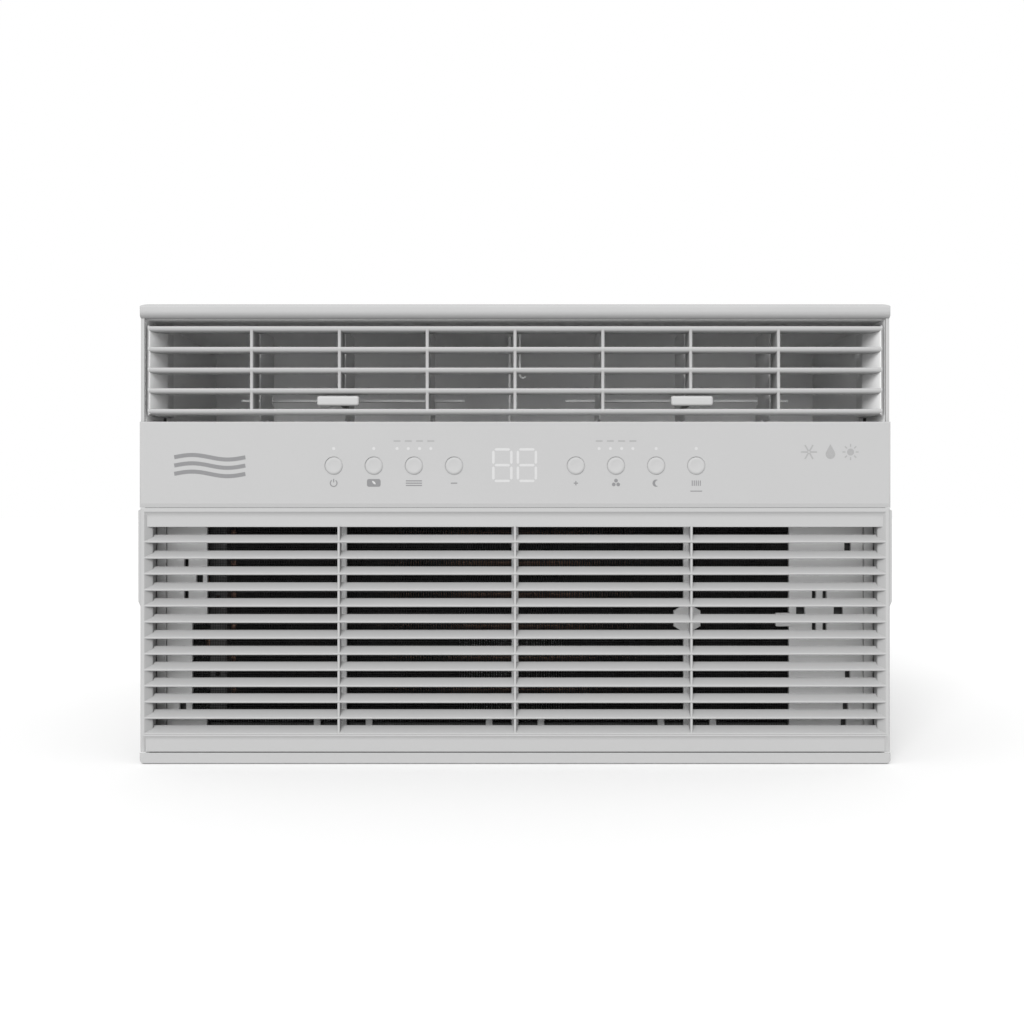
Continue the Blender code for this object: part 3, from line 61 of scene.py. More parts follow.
# Places taken from the frame.
PANEL_LOW, PANEL_HIGH = box("front_panel")
GRILLE_LOW, GRILLE_HIGH = box("intake_grille")
CASSETTE_LOW, CASSETTE_HIGH = box("louvre_cassette")
FILTER_LOW, FILTER_HIGH = box("filter_frame")
SURROUND_LOW, SURROUND_HIGH = box("evaporator_surround")
CABINET_LOW, CABINET_HIGH = box("cabinet")
GUARD_LOW, GUARD_HIGH = box("rear_guard")
FRONT = PANEL_LOW.y
REAR = PANEL_HIGH.y
HALF = PANEL_HIGH.x
HEIGHT = PANEL_HIGH.z

# Front panel. The step and the sill gap are a little tighter than in the model.
WALL = 2.7
INNER_HALF = HALF - WALL
SILL_TOP = 8.6
SILL_FLOOR = 5.5
BAND_BOTTOM = 193.7
BAND_TOP = 255.1
LIP_BOTTOM = 332.2
STEP_BOTTOM = 191.0
STEP_DEPTH = 0.55
TUNNEL_REAR = FRONT + 50.5
OUTLET_MIDDLE = (BAND_TOP + LIP_BOTTOM) / 2

# Intake grille.
SLOT_COUNT = 13
SLAT_PITCH = 11.94
TOP_SLAT_EDGE = 176.5
LAST_EDGE = TOP_SLAT_EDGE - SLOT_COUNT * SLAT_PITCH
GRILLE_RIB_X = 131.6
HINGE_X = 236
HINGE_DEPTH = 7
HINGE_RISE = 6
HINGE_ARM = 2.8
NOSE_SETBACK = 3.5

# Air outlet.
BLADE_PITCH = 15.5
TOP_BLADE = 325.4
RIB_PITCH = 65.8
VANE_PIVOT = FRONT + 56
VANE_CRANK = FRONT + 79
LINK_Z = 277.9

# Controls.
BUTTON_Z = 222.2
BUTTON_R = 6.7
BUTTON_PITCH = 29.9
LIGHT_PITCH = 8.4
LIGHT_Z = 235
BADGE_Z = 209.4
BUTTON_X = {}
for place, name in enumerate(("power", "eco", "mode", "minus")):
    BUTTON_X[name] = -135.2 + place * BUTTON_PITCH
for place, name in enumerate(("plus", "speed", "sleep", "filter")):
    BUTTON_X[name] = 45.3 + place * BUTTON_PITCH

SHAFT_Z = 160
COIL_PITCH = 25.4
FIN_PITCH = 2

# Raised strips on the cabinet that seat the top rail and the side channels.
SEAT_RISE = 0.8
SEAT_FRONT = -120
SEAT_BACK = -100
CABINET_HALF = CABINET_HIGH.x - SEAT_RISE
CABINET_TOP = CABINET_HIGH.z - SEAT_RISE


# --- outlines ---

def fillet(corners, steps=5):
    """Closed outline through corners (a, b, radius), each rounded with an arc."""
    outline = []
    for index, (a, b, radius) in enumerate(corners):
        here = Vector((a, b))
        if radius == 0:
            outline.append((a, b))
            continue
        back = (Vector(corners[index - 1][:2]) - here).normalized()
        ahead = (Vector(corners[(index + 1) % len(corners)][:2]) - here).normalized()
        half = back.angle(ahead) / 2
        centre = here + (back + ahead).normalized() * (radius / math.sin(half))
        start = here + back * (radius / math.tan(half)) - centre
        end = here + ahead * (radius / math.tan(half)) - centre
        sweep = start.angle(end)
        for step in range(steps + 1):
            share = step / steps
            spoke = start * math.sin((1 - share) * sweep) + end * math.sin(share * sweep)
            outline.append(tuple(centre + spoke / math.sin(sweep)))
    return outline


def rectangle(low_a, high_a, low_b, high_b, radius=0, steps=3):
    corners = [(low_a, low_b), (high_a, low_b), (high_a, high_b), (low_a, high_b)]
    return fillet([(a, b, radius) for a, b in corners], steps)


def polar(centre_a, centre_b, radius, angle_deg):
    """Point on a circle."""
    angle = math.radians(angle_deg)
    return centre_a + radius * math.cos(angle), centre_b + radius * math.sin(angle)


def circle(centre_a, centre_b, radius, sides=48):
    turn = 360 / sides
    return [polar(centre_a, centre_b, radius, turn * (step + 0.5)) for step in range(sides)]


def arc(centre_a, centre_b, radius, start_deg, end_deg, steps):
    """Points along an arc, with both of its ends."""
    turn = (end_deg - start_deg) / steps
    return [polar(centre_a, centre_b, radius, start_deg + turn * step) for step in range(steps + 1)]


def inset(outline, distance):
    """The outline moved inward by distance; a negative distance moves it outward."""
    turn = 0
    count = len(outline)
    for index in range(count):
        a, b = outline[index - 1], outline[index]
        turn += a[0] * b[1] - b[0] * a[1]
    sign = 1 if turn > 0 else -1
    moved = []
    for index in range(count):
        here = Vector(outline[index])
        before = (here - Vector(outline[index - 1])).normalized()
        after = (Vector(outline[(index + 1) % count]) - here).normalized()
        first = Vector((-before.y, before.x)) * sign
        second = Vector((-after.y, after.x)) * sign
        middle = (first + second).normalized()
        moved.append(tuple(here + middle * distance / max(middle.dot(first), 0.35)))
    return moved


def ribbon(points, width):
    """Closed outline of an open stroke of the given width."""
    left = []
    right = []
    for index, point in enumerate(points):
        before = Vector(points[max(index - 1, 0)])
        after = Vector(points[min(index + 1, len(points) - 1)])
        along = (after - before).normalized()
        across = Vector((-along.y, along.x)) * width / 2
        left.append(tuple(Vector(point) + across))
        right.append(tuple(Vector(point) - across))
    return left + right[::-1]



# --- solids ---

PLACE = {
    "X": lambda a, b, along: (along, a, b),
    "Y": lambda a, b, along: (a, along, b),
    "Z": lambda a, b, along: (a, b, along),
}


def skin(mesh, rings):
    """Quads between rings of equal length."""
    for first, second in zip(rings, rings[1:]):
        count = len(first)
        for index in range(count):
            after = (index + 1) % count
            mesh.faces.new((first[index], first[after], second[after], second[index]))


def stations(low, high, round_low, round_high, steps=3):
    """Pairs (inset, along) that run from low to high with quarter-round ends."""
    found = []
    for end, radius, inward in ((low, round_low, 1), (high, round_high, -1)):
        quarter = [(0, end)]
        if radius:
            quarter = []
            for step in range(steps + 1):
                angle = math.pi / 2 * step / steps
                along = end + inward * radius * (1 - math.cos(angle))
                quarter.append((radius * (1 - math.sin(angle)), along))
        found += quarter[::inward]
    return found


def add_bar(mesh, outline, axis, low, high, round_low=0, round_high=0):
    """Closed prism along an axis; the rims of its ends may be rounded."""
    rings = []
    for distance, along in stations(low, high, round_low, round_high):
        section = inset(outline, distance) if distance else outline
        rings.append([mesh.verts.new(PLACE[axis](a, b, along)) for a, b in section])
    skin(mesh, rings)
    mesh.faces.new(rings[0])
    mesh.faces.new(rings[-1])


def plate(name, edge, holes, axis, low, high, rim=0):
    """Flat plate with holes, all rims rounded by rim."""
    mesh = bmesh.new()
    ends = ([], [])
    for number, outline in enumerate([edge, *holes]):
        inward = 1 if number == 0 else -1
        rings = []
        for distance, along in stations(low, high, rim, rim, 2):
            section = inset(outline, inward * distance) if distance else outline
            rings.append([mesh.verts.new(PLACE[axis](a, b, along)) for a, b in section])
        skin(mesh, rings)
        for end, ring in zip(ends, (rings[0], rings[-1])):
            for index in range(len(ring)):
                end.append(mesh.edges.get((ring[index - 1], ring[index])))
    for end in ends:
        bmesh.ops.triangle_fill(mesh, edges=end, use_beauty=True)
    return solid(name, mesh)


def add_turned(mesh, profile, centre, axis, sides=48):
    """Closed body of revolution; profile is (radius, along) and starts and ends on the axis."""
    rings = []
    for radius, along in profile:
        if radius == 0:
            rings.append([mesh.verts.new(PLACE[axis](*centre, along))])
            continue
        ring = circle(*centre, radius, sides)
        rings.append([mesh.verts.new(PLACE[axis](a, b, along)) for a, b in ring])
    for first, second in zip(rings, rings[1:]):
        if len(first) > 1 and len(second) > 1:
            skin(mesh, [first, second])
            continue
        tip, ring = (first[0], second) if len(first) == 1 else (second[0], first)
        for index in range(sides):
            mesh.faces.new((tip, ring[index - 1], ring[index]))


def add_tube(mesh, points, radius, sides=12):
    """Capped round tube that follows points."""
    points = [Vector(point) for point in points]
    along = (points[1] - points[0]).normalized()
    side = along.orthogonal().normalized()
    rings = []
    for index, point in enumerate(points):
        before = points[max(index - 1, 0)]
        after = points[min(index + 1, len(points) - 1)]
        along = (after - before).normalized()
        side = (side - along * side.dot(along)).normalized()
        up = along.cross(side)
        ring = []
        for a, b in circle(0, 0, radius, sides):
            ring.append(mesh.verts.new(point + side * a + up * b))
        rings.append(ring)
    skin(mesh, rings)
    mesh.faces.new(rings[0])
    mesh.faces.new(rings[-1])


def add_box(mesh, low, high):
    """Plain slab, for fins, strands and other pieces too thin to round."""
    add_bar(mesh, rectangle(low[0], high[0], low[1], high[1]), "Z", low[2], high[2])


def solid(name, mesh):
    """Object of a bmesh in millimetres, with outward faces; the object is in metres."""
    bmesh.ops.recalc_face_normals(mesh, faces=mesh.faces)
    for corner in mesh.verts:
        corner.co *= MM
    data = bpy.data.meshes.new(name)
    mesh.to_mesh(data)
    mesh.free()
    made = bpy.data.objects.new(name, data)
    bpy.context.scene.collection.objects.link(made)
    return made


def combine(target, tool, operation):
    """Applies a Boolean of tool to target and removes the tool."""
    modifier = target.modifiers.new(operation.lower(), "BOOLEAN")
    modifier.operation = operation
    modifier.solver = "EXACT"
    modifier.object = tool
    graph = bpy.context.evaluated_depsgraph_get()
    result = bpy.data.meshes.new_from_object(target.evaluated_get(graph))
    result.name = target.name
    target.modifiers.clear()
    target.data = result
    bpy.data.objects.remove(tool)


def bars_of(name, bars):
    """Object made of bars that don't touch each other."""
    mesh = bmesh.new()
    for bar in bars:
        add_bar(mesh, *bar)
    return solid(name, mesh)


def fuse(target, bars):
    combine(target, bars_of("tool", bars), "UNION")


def cut(target, bars):
    combine(target, bars_of("tool", bars), "DIFFERENCE")


def smooth(made, angle=34):
    """Smooth shading that leaves flat faces flat and sharp edges sharp."""
    made.data.shade_smooth()
    made.data.set_sharp_from_angle(angle=math.radians(angle))
    modifier = made.modifiers.new("weighted", "WEIGHTED_NORMAL")
    modifier.keep_sharp = True
    modifier.weight = 80


def dress(made, finish, body, slot, *replaced):
    """Gives a piece its material and its body and hides the nodes it stands for; slot is not used."""
    made.data.materials.clear()
    made.data.materials.append(finish)
    if made.type == "MESH":
        smooth(made)
    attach(made, body)
    if replaced:
        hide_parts(*replaced)
    return made


# --- materials ---

def grey(level):
    return level, level, level


def shade(colour, factor):
    return tuple(channel * factor for channel in colour)


def plain(name, colour, roughness, metallic=0.0):
    """New material with a uniform Principled shader."""
    made = bpy.data.materials.new(name)
    made.use_nodes = True
    inputs = made.node_tree.nodes["Principled BSDF"].inputs
    inputs["Base Color"].default_value = (*colour, 1)
    inputs["Roughness"].default_value = roughness
    inputs["Metallic"].default_value = metallic
    return made


def feed(made, source, name):
    """Links an output to a named input of the material's shader."""
    shader = made.node_tree.nodes["Principled BSDF"]
    made.node_tree.links.new(source, shader.inputs[name])


def texture(made, kind, scale, output="Fac", **settings):
    """Output of a noise or Voronoi texture in object space, scale in cells per metre."""
    nodes = made.node_tree.nodes
    place = nodes.get("Texture Coordinate") or nodes.new("ShaderNodeTexCoord")
    found = nodes.new("ShaderNodeTex" + kind)
    found.inputs["Scale"].default_value = scale
    for key, value in settings.items():
        found.inputs[key].default_value = value
    made.node_tree.links.new(place.outputs["Object"], found.inputs["Vector"])
    return found.outputs[output]


def tint(made, source, dark, light):
    """Base colour that runs between two colours with a texture."""
    mix = made.node_tree.nodes.new("ShaderNodeMix")
    mix.data_type = "RGBA"
    mix.inputs["A"].default_value = (*dark, 1)
    mix.inputs["B"].default_value = (*light, 1)
    made.node_tree.links.new(source, mix.inputs["Factor"])
    feed(made, mix.outputs["Result"], "Base Color")


def polish(made, source, low, high):
    """Roughness that runs between two values with a texture."""
    spread = made.node_tree.nodes.new("ShaderNodeMapRange")
    spread.inputs["From Min"].default_value = 0.3
    spread.inputs["From Max"].default_value = 0.7
    spread.inputs["To Min"].default_value = low
    spread.inputs["To Max"].default_value = high
    made.node_tree.links.new(source, spread.inputs["Value"])
    feed(made, spread.outputs["Result"], "Roughness")


def relief(made, source, depth):
    """Bump of the given depth in millimetres."""
    bump = made.node_tree.nodes.new("ShaderNodeBump")
    bump.inputs["Distance"].default_value = depth * MM
    bump.inputs["Strength"].default_value = 1.0
    made.node_tree.links.new(source, bump.inputs["Height"])
    feed(made, bump.outputs["Normal"], "Normal")


def moulded(name, colour, roughness, grain=1100.0, depth=0.02, mottle=0.012):
    """Moulded plastic: spark-eroded grain, faint flow mottling and uneven gloss."""
    made = plain(name, colour, roughness)
    flow = texture(made, "Noise", 14.0, Detail=3.0, Roughness=0.55)
    tint(made, flow, shade(colour, 1 - mottle), shade(colour, 1 + mottle))
    polish(made, flow, roughness - 0.05, roughness + 0.05)
    relief(made, texture(made, "Noise", grain, Detail=2.0), depth)
    return made


def powder_coat(name, colour):
    """Powder-coated sheet steel with orange peel."""
    made = plain(name, colour, 0.42)
    wear = texture(made, "Noise", 6.0, Detail=6.0, Roughness=0.65)
    tint(made, wear, shade(colour, 0.965), shade(colour, 1.03))
    polish(made, wear, 0.36, 0.5)
    relief(made, texture(made, "Noise", 420.0, Detail=3.0, Roughness=0.6), 0.09)
    return made


def spangled(name):
    """Galvanised steel: metal crystals of differing tone and gloss."""
    made = plain(name, (0.55, 0.56, 0.57), 0.4, 1.0)
    split = made.node_tree.nodes.new("ShaderNodeSeparateColor")
    crystal = texture(made, "Voronoi", 130.0, "Color")
    made.node_tree.links.new(crystal, split.inputs["Color"])
    tint(made, split.outputs["Red"], (0.42, 0.43, 0.45), (0.62, 0.63, 0.64))
    polish(made, split.outputs["Green"], 0.3, 0.5)
    relief(made, texture(made, "Noise", 22.0, Detail=5.0), 0.03)
    return made


def metal(name, dark, light, roughness):
    """Bare or tarnished metal that runs between two tones."""
    made = plain(name, light, roughness, 1.0)
    tarnish = texture(made, "Noise", 40.0, Detail=6.0, Roughness=0.6)
    tint(made, tarnish, dark, light)
    polish(made, tarnish, roughness - 0.08, roughness + 0.12)
    relief(made, texture(made, "Noise", 900.0, Detail=2.0), 0.01)
    return made


def beaded_foam(name):
    """Expanded polystyrene: packed beads."""
    made = plain(name, (0.78, 0.78, 0.77), 0.85)
    bead = texture(made, "Voronoi", 260.0, "Distance")
    tint(made, bead, (0.82, 0.82, 0.81), (0.66, 0.66, 0.65))
    relief(made, bead, -0.4)
    return made


def solder_mask(name):
    """Green circuit board with lighter copper runs under the mask."""
    made = plain(name, (0.04, 0.2, 0.09), 0.35)
    runs = texture(made, "Voronoi", 240.0, "Distance")
    runs.node.distance = "CHEBYCHEV"
    tint(made, runs, (0.02, 0.13, 0.05), (0.06, 0.3, 0.14))
    relief(made, runs, 0.03)
    return made


def flecked(name, colour, roughness, scale, spread):
    """Matt surface of slightly uneven tone, for printing ink and pale marks; on the display digits the
    pale tone is painted glow.
    """
    made = plain(name, colour, roughness)
    patch = texture(made, "Noise", scale, Detail=3.0)
    tint(made, patch, shade(colour, 1 - spread), shade(colour, 1 + spread))
    return made


FRONT_PLASTIC = moulded("front_plastic", grey(0.235), 0.72)
TAB_PLASTIC = moulded("tab_plastic", grey(0.245), 0.62, 700.0, 0.01)
# Vane plastic set far lighter than the front plastic: painted light that lifts the shade on the vanes
# inside the outlet.
VANE_PLASTIC = moulded("vane_plastic", grey(0.62), 0.55, 700.0, 0.03, 0.05)
# Front plastic set far lighter for the filter frame and its guides: painted light that lifts the shade
# behind the grille.
FRAME_PLASTIC = moulded("frame_plastic", grey(0.55), 0.5, 800.0)
# Plastic set far lighter than the front plastic for the duct, scroll, lining, link bars and post:
# painted light that lifts the shade inside the unit.
INNER_PLASTIC = moulded("inner_plastic", grey(0.76), 0.55, 700.0, 0.03, 0.05)
# Near-black copy of the front plastic for the evaporator surround: painted shade in the gap behind the
# grille.
SURROUND_PLASTIC = moulded("surround_plastic", grey(0.05), 0.6, 700.0)
# Lighter copy of the front plastic for the louvre cheeks: painted light on ends that sit in shade.
END_PLASTIC = moulded("end_plastic", grey(0.6), 0.7, 900.0)
# Near-black copy of galvanised steel for the evaporator's end plates and flanges: painted shade.
SHADOW_STEEL = moulded("painted_steel", grey(0.06), 0.5, 500.0, 0.03, 0.15)
BLACK_PLASTIC = moulded("black_plastic", grey(0.03), 0.45, 600.0, 0.03, 0.2)
CABINET_PAINT = powder_coat("cabinet_paint", (0.29, 0.29, 0.287))
GALVANISED = spangled("galvanised")
FIN_METAL = metal("fin_metal", (0.45, 0.46, 0.48), (0.66, 0.67, 0.68), 0.38)
# Near-black copy of the fin metal for the evaporator: painted shade deep inside the unit.
SHADE_DARK_FINS = moulded("shade_dark_fins", grey(0.006), 0.6, 600.0, 0.02, 0.3)
COPPER = metal("copper", (0.2, 0.12, 0.085), (0.42, 0.25, 0.18), 0.5)
FOAM = beaded_foam("foam")
BOARD = solder_mask("solder_mask")
ENAMEL = moulded("enamel", (0.02, 0.02, 0.021), 0.28, 300.0, 0.04, 0.2)
RUBBER = moulded("rubber", grey(0.02), 0.8, 500.0, 0.05, 0.25)
NET = moulded("net", grey(0.01), 0.8, 900.0, 0.02, 0.2)
INK = flecked("ink", (0.1, 0.1, 0.103), 0.6, 700.0, 0.12)
SOFT_INK = flecked("soft_ink", grey(0.17), 0.6, 700.0, 0.12)
# Pale tone for marks on the band; on the display digits it is a painted glow of lit segments.
PALE_MARKS = flecked("pale_marks", grey(0.28), 0.5, 500.0, 0.0357)


# --- front panel ---

def beyond_corner(corner, outward, reach, steps=8):
    """Region outside an elliptical corner of an outline, to cut away."""
    over = (outward[0], outward[1])
    start = (corner[0], corner[1] - outward[1] * reach[1])
    end = (corner[0] - outward[0] * reach[0], corner[1])
    points = [(corner[0] + over[0], corner[1] + over[1]), (start[0] + over[0], start[1])]
    for step in range(steps + 1):
        angle = math.pi / 2 * step / steps
        a = end[0] + outward[0] * reach[0] * math.cos(angle)
        b = start[1] + outward[1] * reach[1] * math.sin(angle)
        points.append((a, b))
    return points + [(end[0], end[1] + over[1])]


def front_shell():
    """Moulded front: side walls, lip over the outlet, control band and sill."""
    hair = 0.02
    behind = FRONT + 12.8
    set_back = FRONT + NOSE_SETBACK
    nose = 3
    chin = 5.5
    lip_back = FRONT + 0.6
    sill_back = FRONT + 13
    swing_back = FRONT + 15.4
    step = FRONT + STEP_DEPTH
    pivot_y = FRONT + HINGE_DEPTH
    pivot_z = GRILLE_LOW.z + HINGE_RISE
    chin_end = 180 + math.degrees(math.acos((chin - NOSE_SETBACK) / chin))
    under = fillet([
        (FRONT, 0, 0.9), (FRONT, SILL_TOP, 0.15), (lip_back, SILL_TOP - 0.7, 0.1),
        (lip_back, SILL_FLOOR, 0.2), (swing_back, SILL_FLOOR, 0), (swing_back, pivot_z + 6, 0),
        (behind, pivot_z + 9, 0), (behind, STEP_BOTTOM, 0), (step, STEP_BOTTOM, 0.1),
        (FRONT, BAND_BOTTOM + 0.4, 0.8), (FRONT, BAND_TOP, 1),
        (set_back, BAND_TOP, 0), (set_back, LIP_BOTTOM, 0), (REAR, LIP_BOTTOM, 0), (REAR, 0, 0),
    ])
    wall = under[:-3]
    wall += arc(FRONT + chin, LIP_BOTTOM + chin, chin, chin_end, 180, 8)
    wall += arc(FRONT + nose, HEIGHT - nose, nose, 180, 90, 6) + [(REAR, HEIGHT), (REAR, 0)]
    panel = bars_of("front_shell", [(wall, "X", -HALF, HALF)])
    chin_arc = arc(FRONT + chin, LIP_BOTTOM + hair + chin, chin, chin_end - 4, 270, 10)
    back = FRONT + 8
    inner = FRONT + WALL
    flange = FRONT + 26
    open_rear = REAR + 1
    hollow = [(set_back - 1, BAND_TOP + hair), (set_back - 1, chin_arc[0][1] - 1)] + chin_arc + [
        (TUNNEL_REAR, LIP_BOTTOM + hair), (TUNNEL_REAR, LIP_BOTTOM + WALL), (back, LIP_BOTTOM + WALL),
        (back, HEIGHT - WALL), (open_rear, HEIGHT - WALL), (open_rear, WALL), (sill_back, WALL),
        (sill_back, pivot_z), (behind - 1, pivot_z + 8), (behind - 1, STEP_BOTTOM + hair),
        (flange, STEP_BOTTOM + hair), (flange, BAND_BOTTOM + WALL), (inner, BAND_BOTTOM + WALL),
        (inner, BAND_TOP - WALL), (TUNNEL_REAR, BAND_TOP - WALL), (TUNNEL_REAR, BAND_TOP + hair),
    ]
    cut(panel, [(hollow, "X", -INNER_HALF, INNER_HALF)])
    post = sill_back + 0.4
    tip = HINGE_ARM - 0.1
    lug = fillet([
        (pivot_y - HINGE_ARM, pivot_z - HINGE_ARM, tip), (post, pivot_z - HINGE_ARM, 0.5),
        (post, 1, 0), (post + 4, 1, 0), (post + 4, pivot_z + HINGE_ARM, 1.5),
        (pivot_y - HINGE_ARM, pivot_z + HINGE_ARM, tip),
    ])
    lugs = []
    for x in (-HINGE_X, HINGE_X):
        lugs.append((lug, "X", x - 3, x + 3, 0.3, 0.3))
    fuse(panel, lugs)
    cut(panel, [(circle(pivot_y, pivot_z, 2, 24), "X", -HALF + 10, HALF - 10)])
    for side in (-1, 1):
        top = beyond_corner((side * HALF, HEIGHT), (side, 1), (9, 2.2))
        foot = beyond_corner((side * HALF, 0), (side, -1), (3.7, 3.7))
        cut(panel, [(top, "Y", FRONT - 1, REAR + 1), (foot, "Y", FRONT - 1, REAR + 1)])
        corner = beyond_corner((side * HALF, FRONT), (side, -1), (1.2, 1.2))
        cut(panel, [(corner, "Z", -1, HEIGHT + 1)])
    posts = []
    for x in (-158, 158):
        for z in (207, 243):
            posts.append((circle(x, z, 3, 24), "Y", FRONT + 2, FRONT + 12.7))
    fuse(panel, posts)
    mesh = bmesh.new()
    hole = BUTTON_R + 0.05
    rim = 0.08
    for x in BUTTON_X.values():
        profile = [(0, FRONT - 1), (hole + rim, FRONT - 1), (hole + rim, FRONT)]
        for step_deg in (60, 30, 0):
            angle = math.radians(step_deg)
            profile.append((hole + rim * (1 - math.cos(angle)), FRONT + rim * (1 - math.sin(angle))))
        profile += [(hole, FRONT + 4), (0, FRONT + 4)]
        add_turned(mesh, profile, (x, BUTTON_Z), "Y", 64)
    combine(panel, solid("tool", mesh), "DIFFERENCE")
    socket = circle(FRONT + 16.5, OUTLET_MIDDLE, 2.9)
    deep = HALF - 1.2
    cut(panel, [
        (socket, "X", -deep, -INNER_HALF + 1), (socket, "X", INNER_HALF - 1, deep),
    ])
    return dress(panel, FRONT_PLASTIC, "chassis", "front_plastic", "front_panel")


# --- printed marks and lights on the band ---

def marks(name, finish, outlines, depth=0.05):
    """Thin flat marks on the face of the control band."""
    bars = [(outline, "Y", FRONT - depth, FRONT + 0.3) for outline in outlines]
    return dress(bars_of(name, bars), finish, "chassis", "front_plastic")


def segment(centre_a, centre_b, length, thick, upright):
    """One bar of a seven-segment digit, with pointed ends."""
    half = length / 2
    tip = thick / 2
    flat = half - tip
    points = [(-half, 0), (-flat, -tip), (flat, -tip), (half, 0), (flat, tip), (-flat, tip)]
    if upright:
        points = [(-b, a) for a, b in points]
    return [(centre_a + a, centre_b + b) for a, b in points]


def display_digits():
    """Two digits of light guides that show through the band; their pale tone is painted glow."""
    middle_z = 222.6
    height = 25.4
    thick = 1.9
    bars = []
    width = 15.3
    reach = (width - thick) / 2
    rise = (height - thick) / 2
    for centre in (-9.5, 8.8):
        for z in (-rise, 0, rise):
            bars.append(segment(centre, middle_z + z, width - thick - 1.6, thick, False))
        for x in (-reach, reach):
            for z in (-rise / 2, rise / 2):
                bars.append(segment(centre + x, middle_z + z, rise - 1.6, thick, True))
    return marks("display_digits", PALE_MARKS, bars)


def four_over(name):
    """Middles of the four lights in the row over a key."""
    return [BUTTON_X[name] + (place - 1.5) * LIGHT_PITCH for place in range(4)]


def status_lights():
    """Round light guides: one over a key, or a row of four."""
    spots = [BUTTON_X[name] for name in ("power", "eco", "sleep", "filter")]
    spots += four_over("mode") + four_over("speed")
    return marks("status_lights", PALE_MARKS, [circle(x, LIGHT_Z, 1.15, 20) for x in spots])


def stroke(x, z, half_wide, half_high, radius=0):
    """Rectangle about its middle."""
    return rectangle(x - half_wide, x + half_wide, z - half_high, z + half_high, radius)


def key_icons():
    """Generic pictograms under the keys, in place of captions."""
    z = 209.2
    thin = 0.8
    half = thin / 2
    x = BUTTON_X["power"]
    made = [ribbon(arc(x, z, 2.5, 125, 415, 20), thin), ribbon([(x, z + 0.6), (x, z + 3.2)], thin)]
    for place in (-1, 0, 1):
        made.append(stroke(BUTTON_X["mode"], z + place * 1.7, 6, half))
    made.append(stroke(BUTTON_X["minus"], z, 2.4, half))
    x = BUTTON_X["plus"]
    made.append(stroke(x, z, 1.6, half))
    for sign in (-1, 1):
        made.append(stroke(x, z + sign * 1.025, half, 0.575))
    for turn in (90, 210, 330):
        made.append(circle(*polar(BUTTON_X["speed"], z, 1.9, turn), 1.4, 18))
    x = BUTTON_X["sleep"]
    made.append(arc(x, z, 2.7, 60, 300, 16) + arc(x + 1.6, z, 2.33, 266, 94, 14))
    x = BUTTON_X["filter"]
    for place in range(-2, 3):
        made.append(stroke(x + place * 1.5, z, 0.35, 2))
    made.append(stroke(x, z - 5.95, 4.4, 0.35))
    return marks("key_icons", INK, made)


def eco_badge():
    """Dark rounded badge under the second key."""
    return marks("eco_badge", INK, [stroke(BUTTON_X["eco"], BADGE_Z, 5.1, 2.9, 1.5)])


def eco_leaf():
    """Light leaf on the badge."""
    x = BUTTON_X["eco"]
    leaf = arc(x - 1.2, BADGE_Z - 1.1, 2.6, 0, 90, 8) + arc(x + 1.4, BADGE_Z + 1.5, 2.6, 180, 270, 8)
    return marks("eco_leaf", PALE_MARKS, [leaf], 0.08)


def mode_ticks():
    """Tiny strokes over the rows of four lights."""
    made = [stroke(x, 240.6, 2.6, 0.55, 0.3) for x in four_over("mode") + four_over("speed")]
    return marks("mode_ticks", SOFT_INK, made)


def wave(x, z, length, height, width):
    """Level wavy stroke."""
    points = []
    for step in range(25):
        share = step / 24
        points.append((x + length * share, z + height * math.sin(2 * math.pi * share)))
    return ribbon(points, width)


def breeze_mark():
    """Generic air-flow pictogram at the left of the band: three waves."""
    made = []
    for row in (-1, 0, 1):
        made.append(wave(-254, 222.3 + row * 6.2, 53, 1.7, 3.0))
    return marks("breeze_mark", INK, made)


def ray(x, z, inner, outer, turn_deg, width):
    """Stroke that points away from a middle."""
    return ribbon([polar(x, z, inner, turn_deg), polar(x, z, outer, turn_deg)], width)


def climate_marks():
    """Generic pictograms at the right of the band: snow crystal, drop and sun."""
    z = 232.4
    made = []
    for turn in (180, 0, 240, 60, 300, 120):
        made.append(ray(219, z, 0.72, 6, turn, 1.1))
    drop = 235
    made.append(arc(drop, z - 1.6, 3.6, 150, 390, 20) + [(drop, z + 6)])
    sun = 250
    made.append(circle(sun, z, 2.6, 24))
    for turn in range(0, 360, 45):
        made.append(ray(sun, z, 3.8, 6, turn, 0.9))
    return marks("climate_marks", SOFT_INK, made)


# --- controls ---

def button(name, x):
    """Round key: dished face that leans out at its lower right, rounded rim, flange and stem."""
    high = box("button_" + name)[1]
    crown = FRONT - 0.5
    dish = 0.25
    flat = BUTTON_R - 2.2
    fall = 0.8
    profile = [(0, crown + dish)]
    for step in range(1, 7):
        share = step / 6
        profile.append((flat * share, crown + dish * (1 - share ** 2)))
    for step in range(1, 7):
        share = step / 6
        profile.append((flat + (BUTTON_R - flat) * share, crown + fall * share ** 3))
    flange = FRONT + WALL + 0.3
    profile += [
        (BUTTON_R, flange), (8.2, flange), (8.2, flange + 1), (2.2, flange + 1),
        (2.2, high.y), (0, high.y),
    ]
    mesh = bmesh.new()
    add_turned(mesh, profile, (x, BUTTON_Z), "Y", 64)
    lean = 0.5
    for corner in mesh.verts:
        if corner.co.y < FRONT + 1:
            lower_right = (0.5 * (corner.co.x - x) - 0.87 * (corner.co.z - BUTTON_Z)) / BUTTON_R
            corner.co.y -= lean * lower_right
    made = solid("key_" + name, mesh)
    return dress(made, FRONT_PLASTIC, name + "_button", "front_plastic", "button_" + name)


# --- intake grille ---

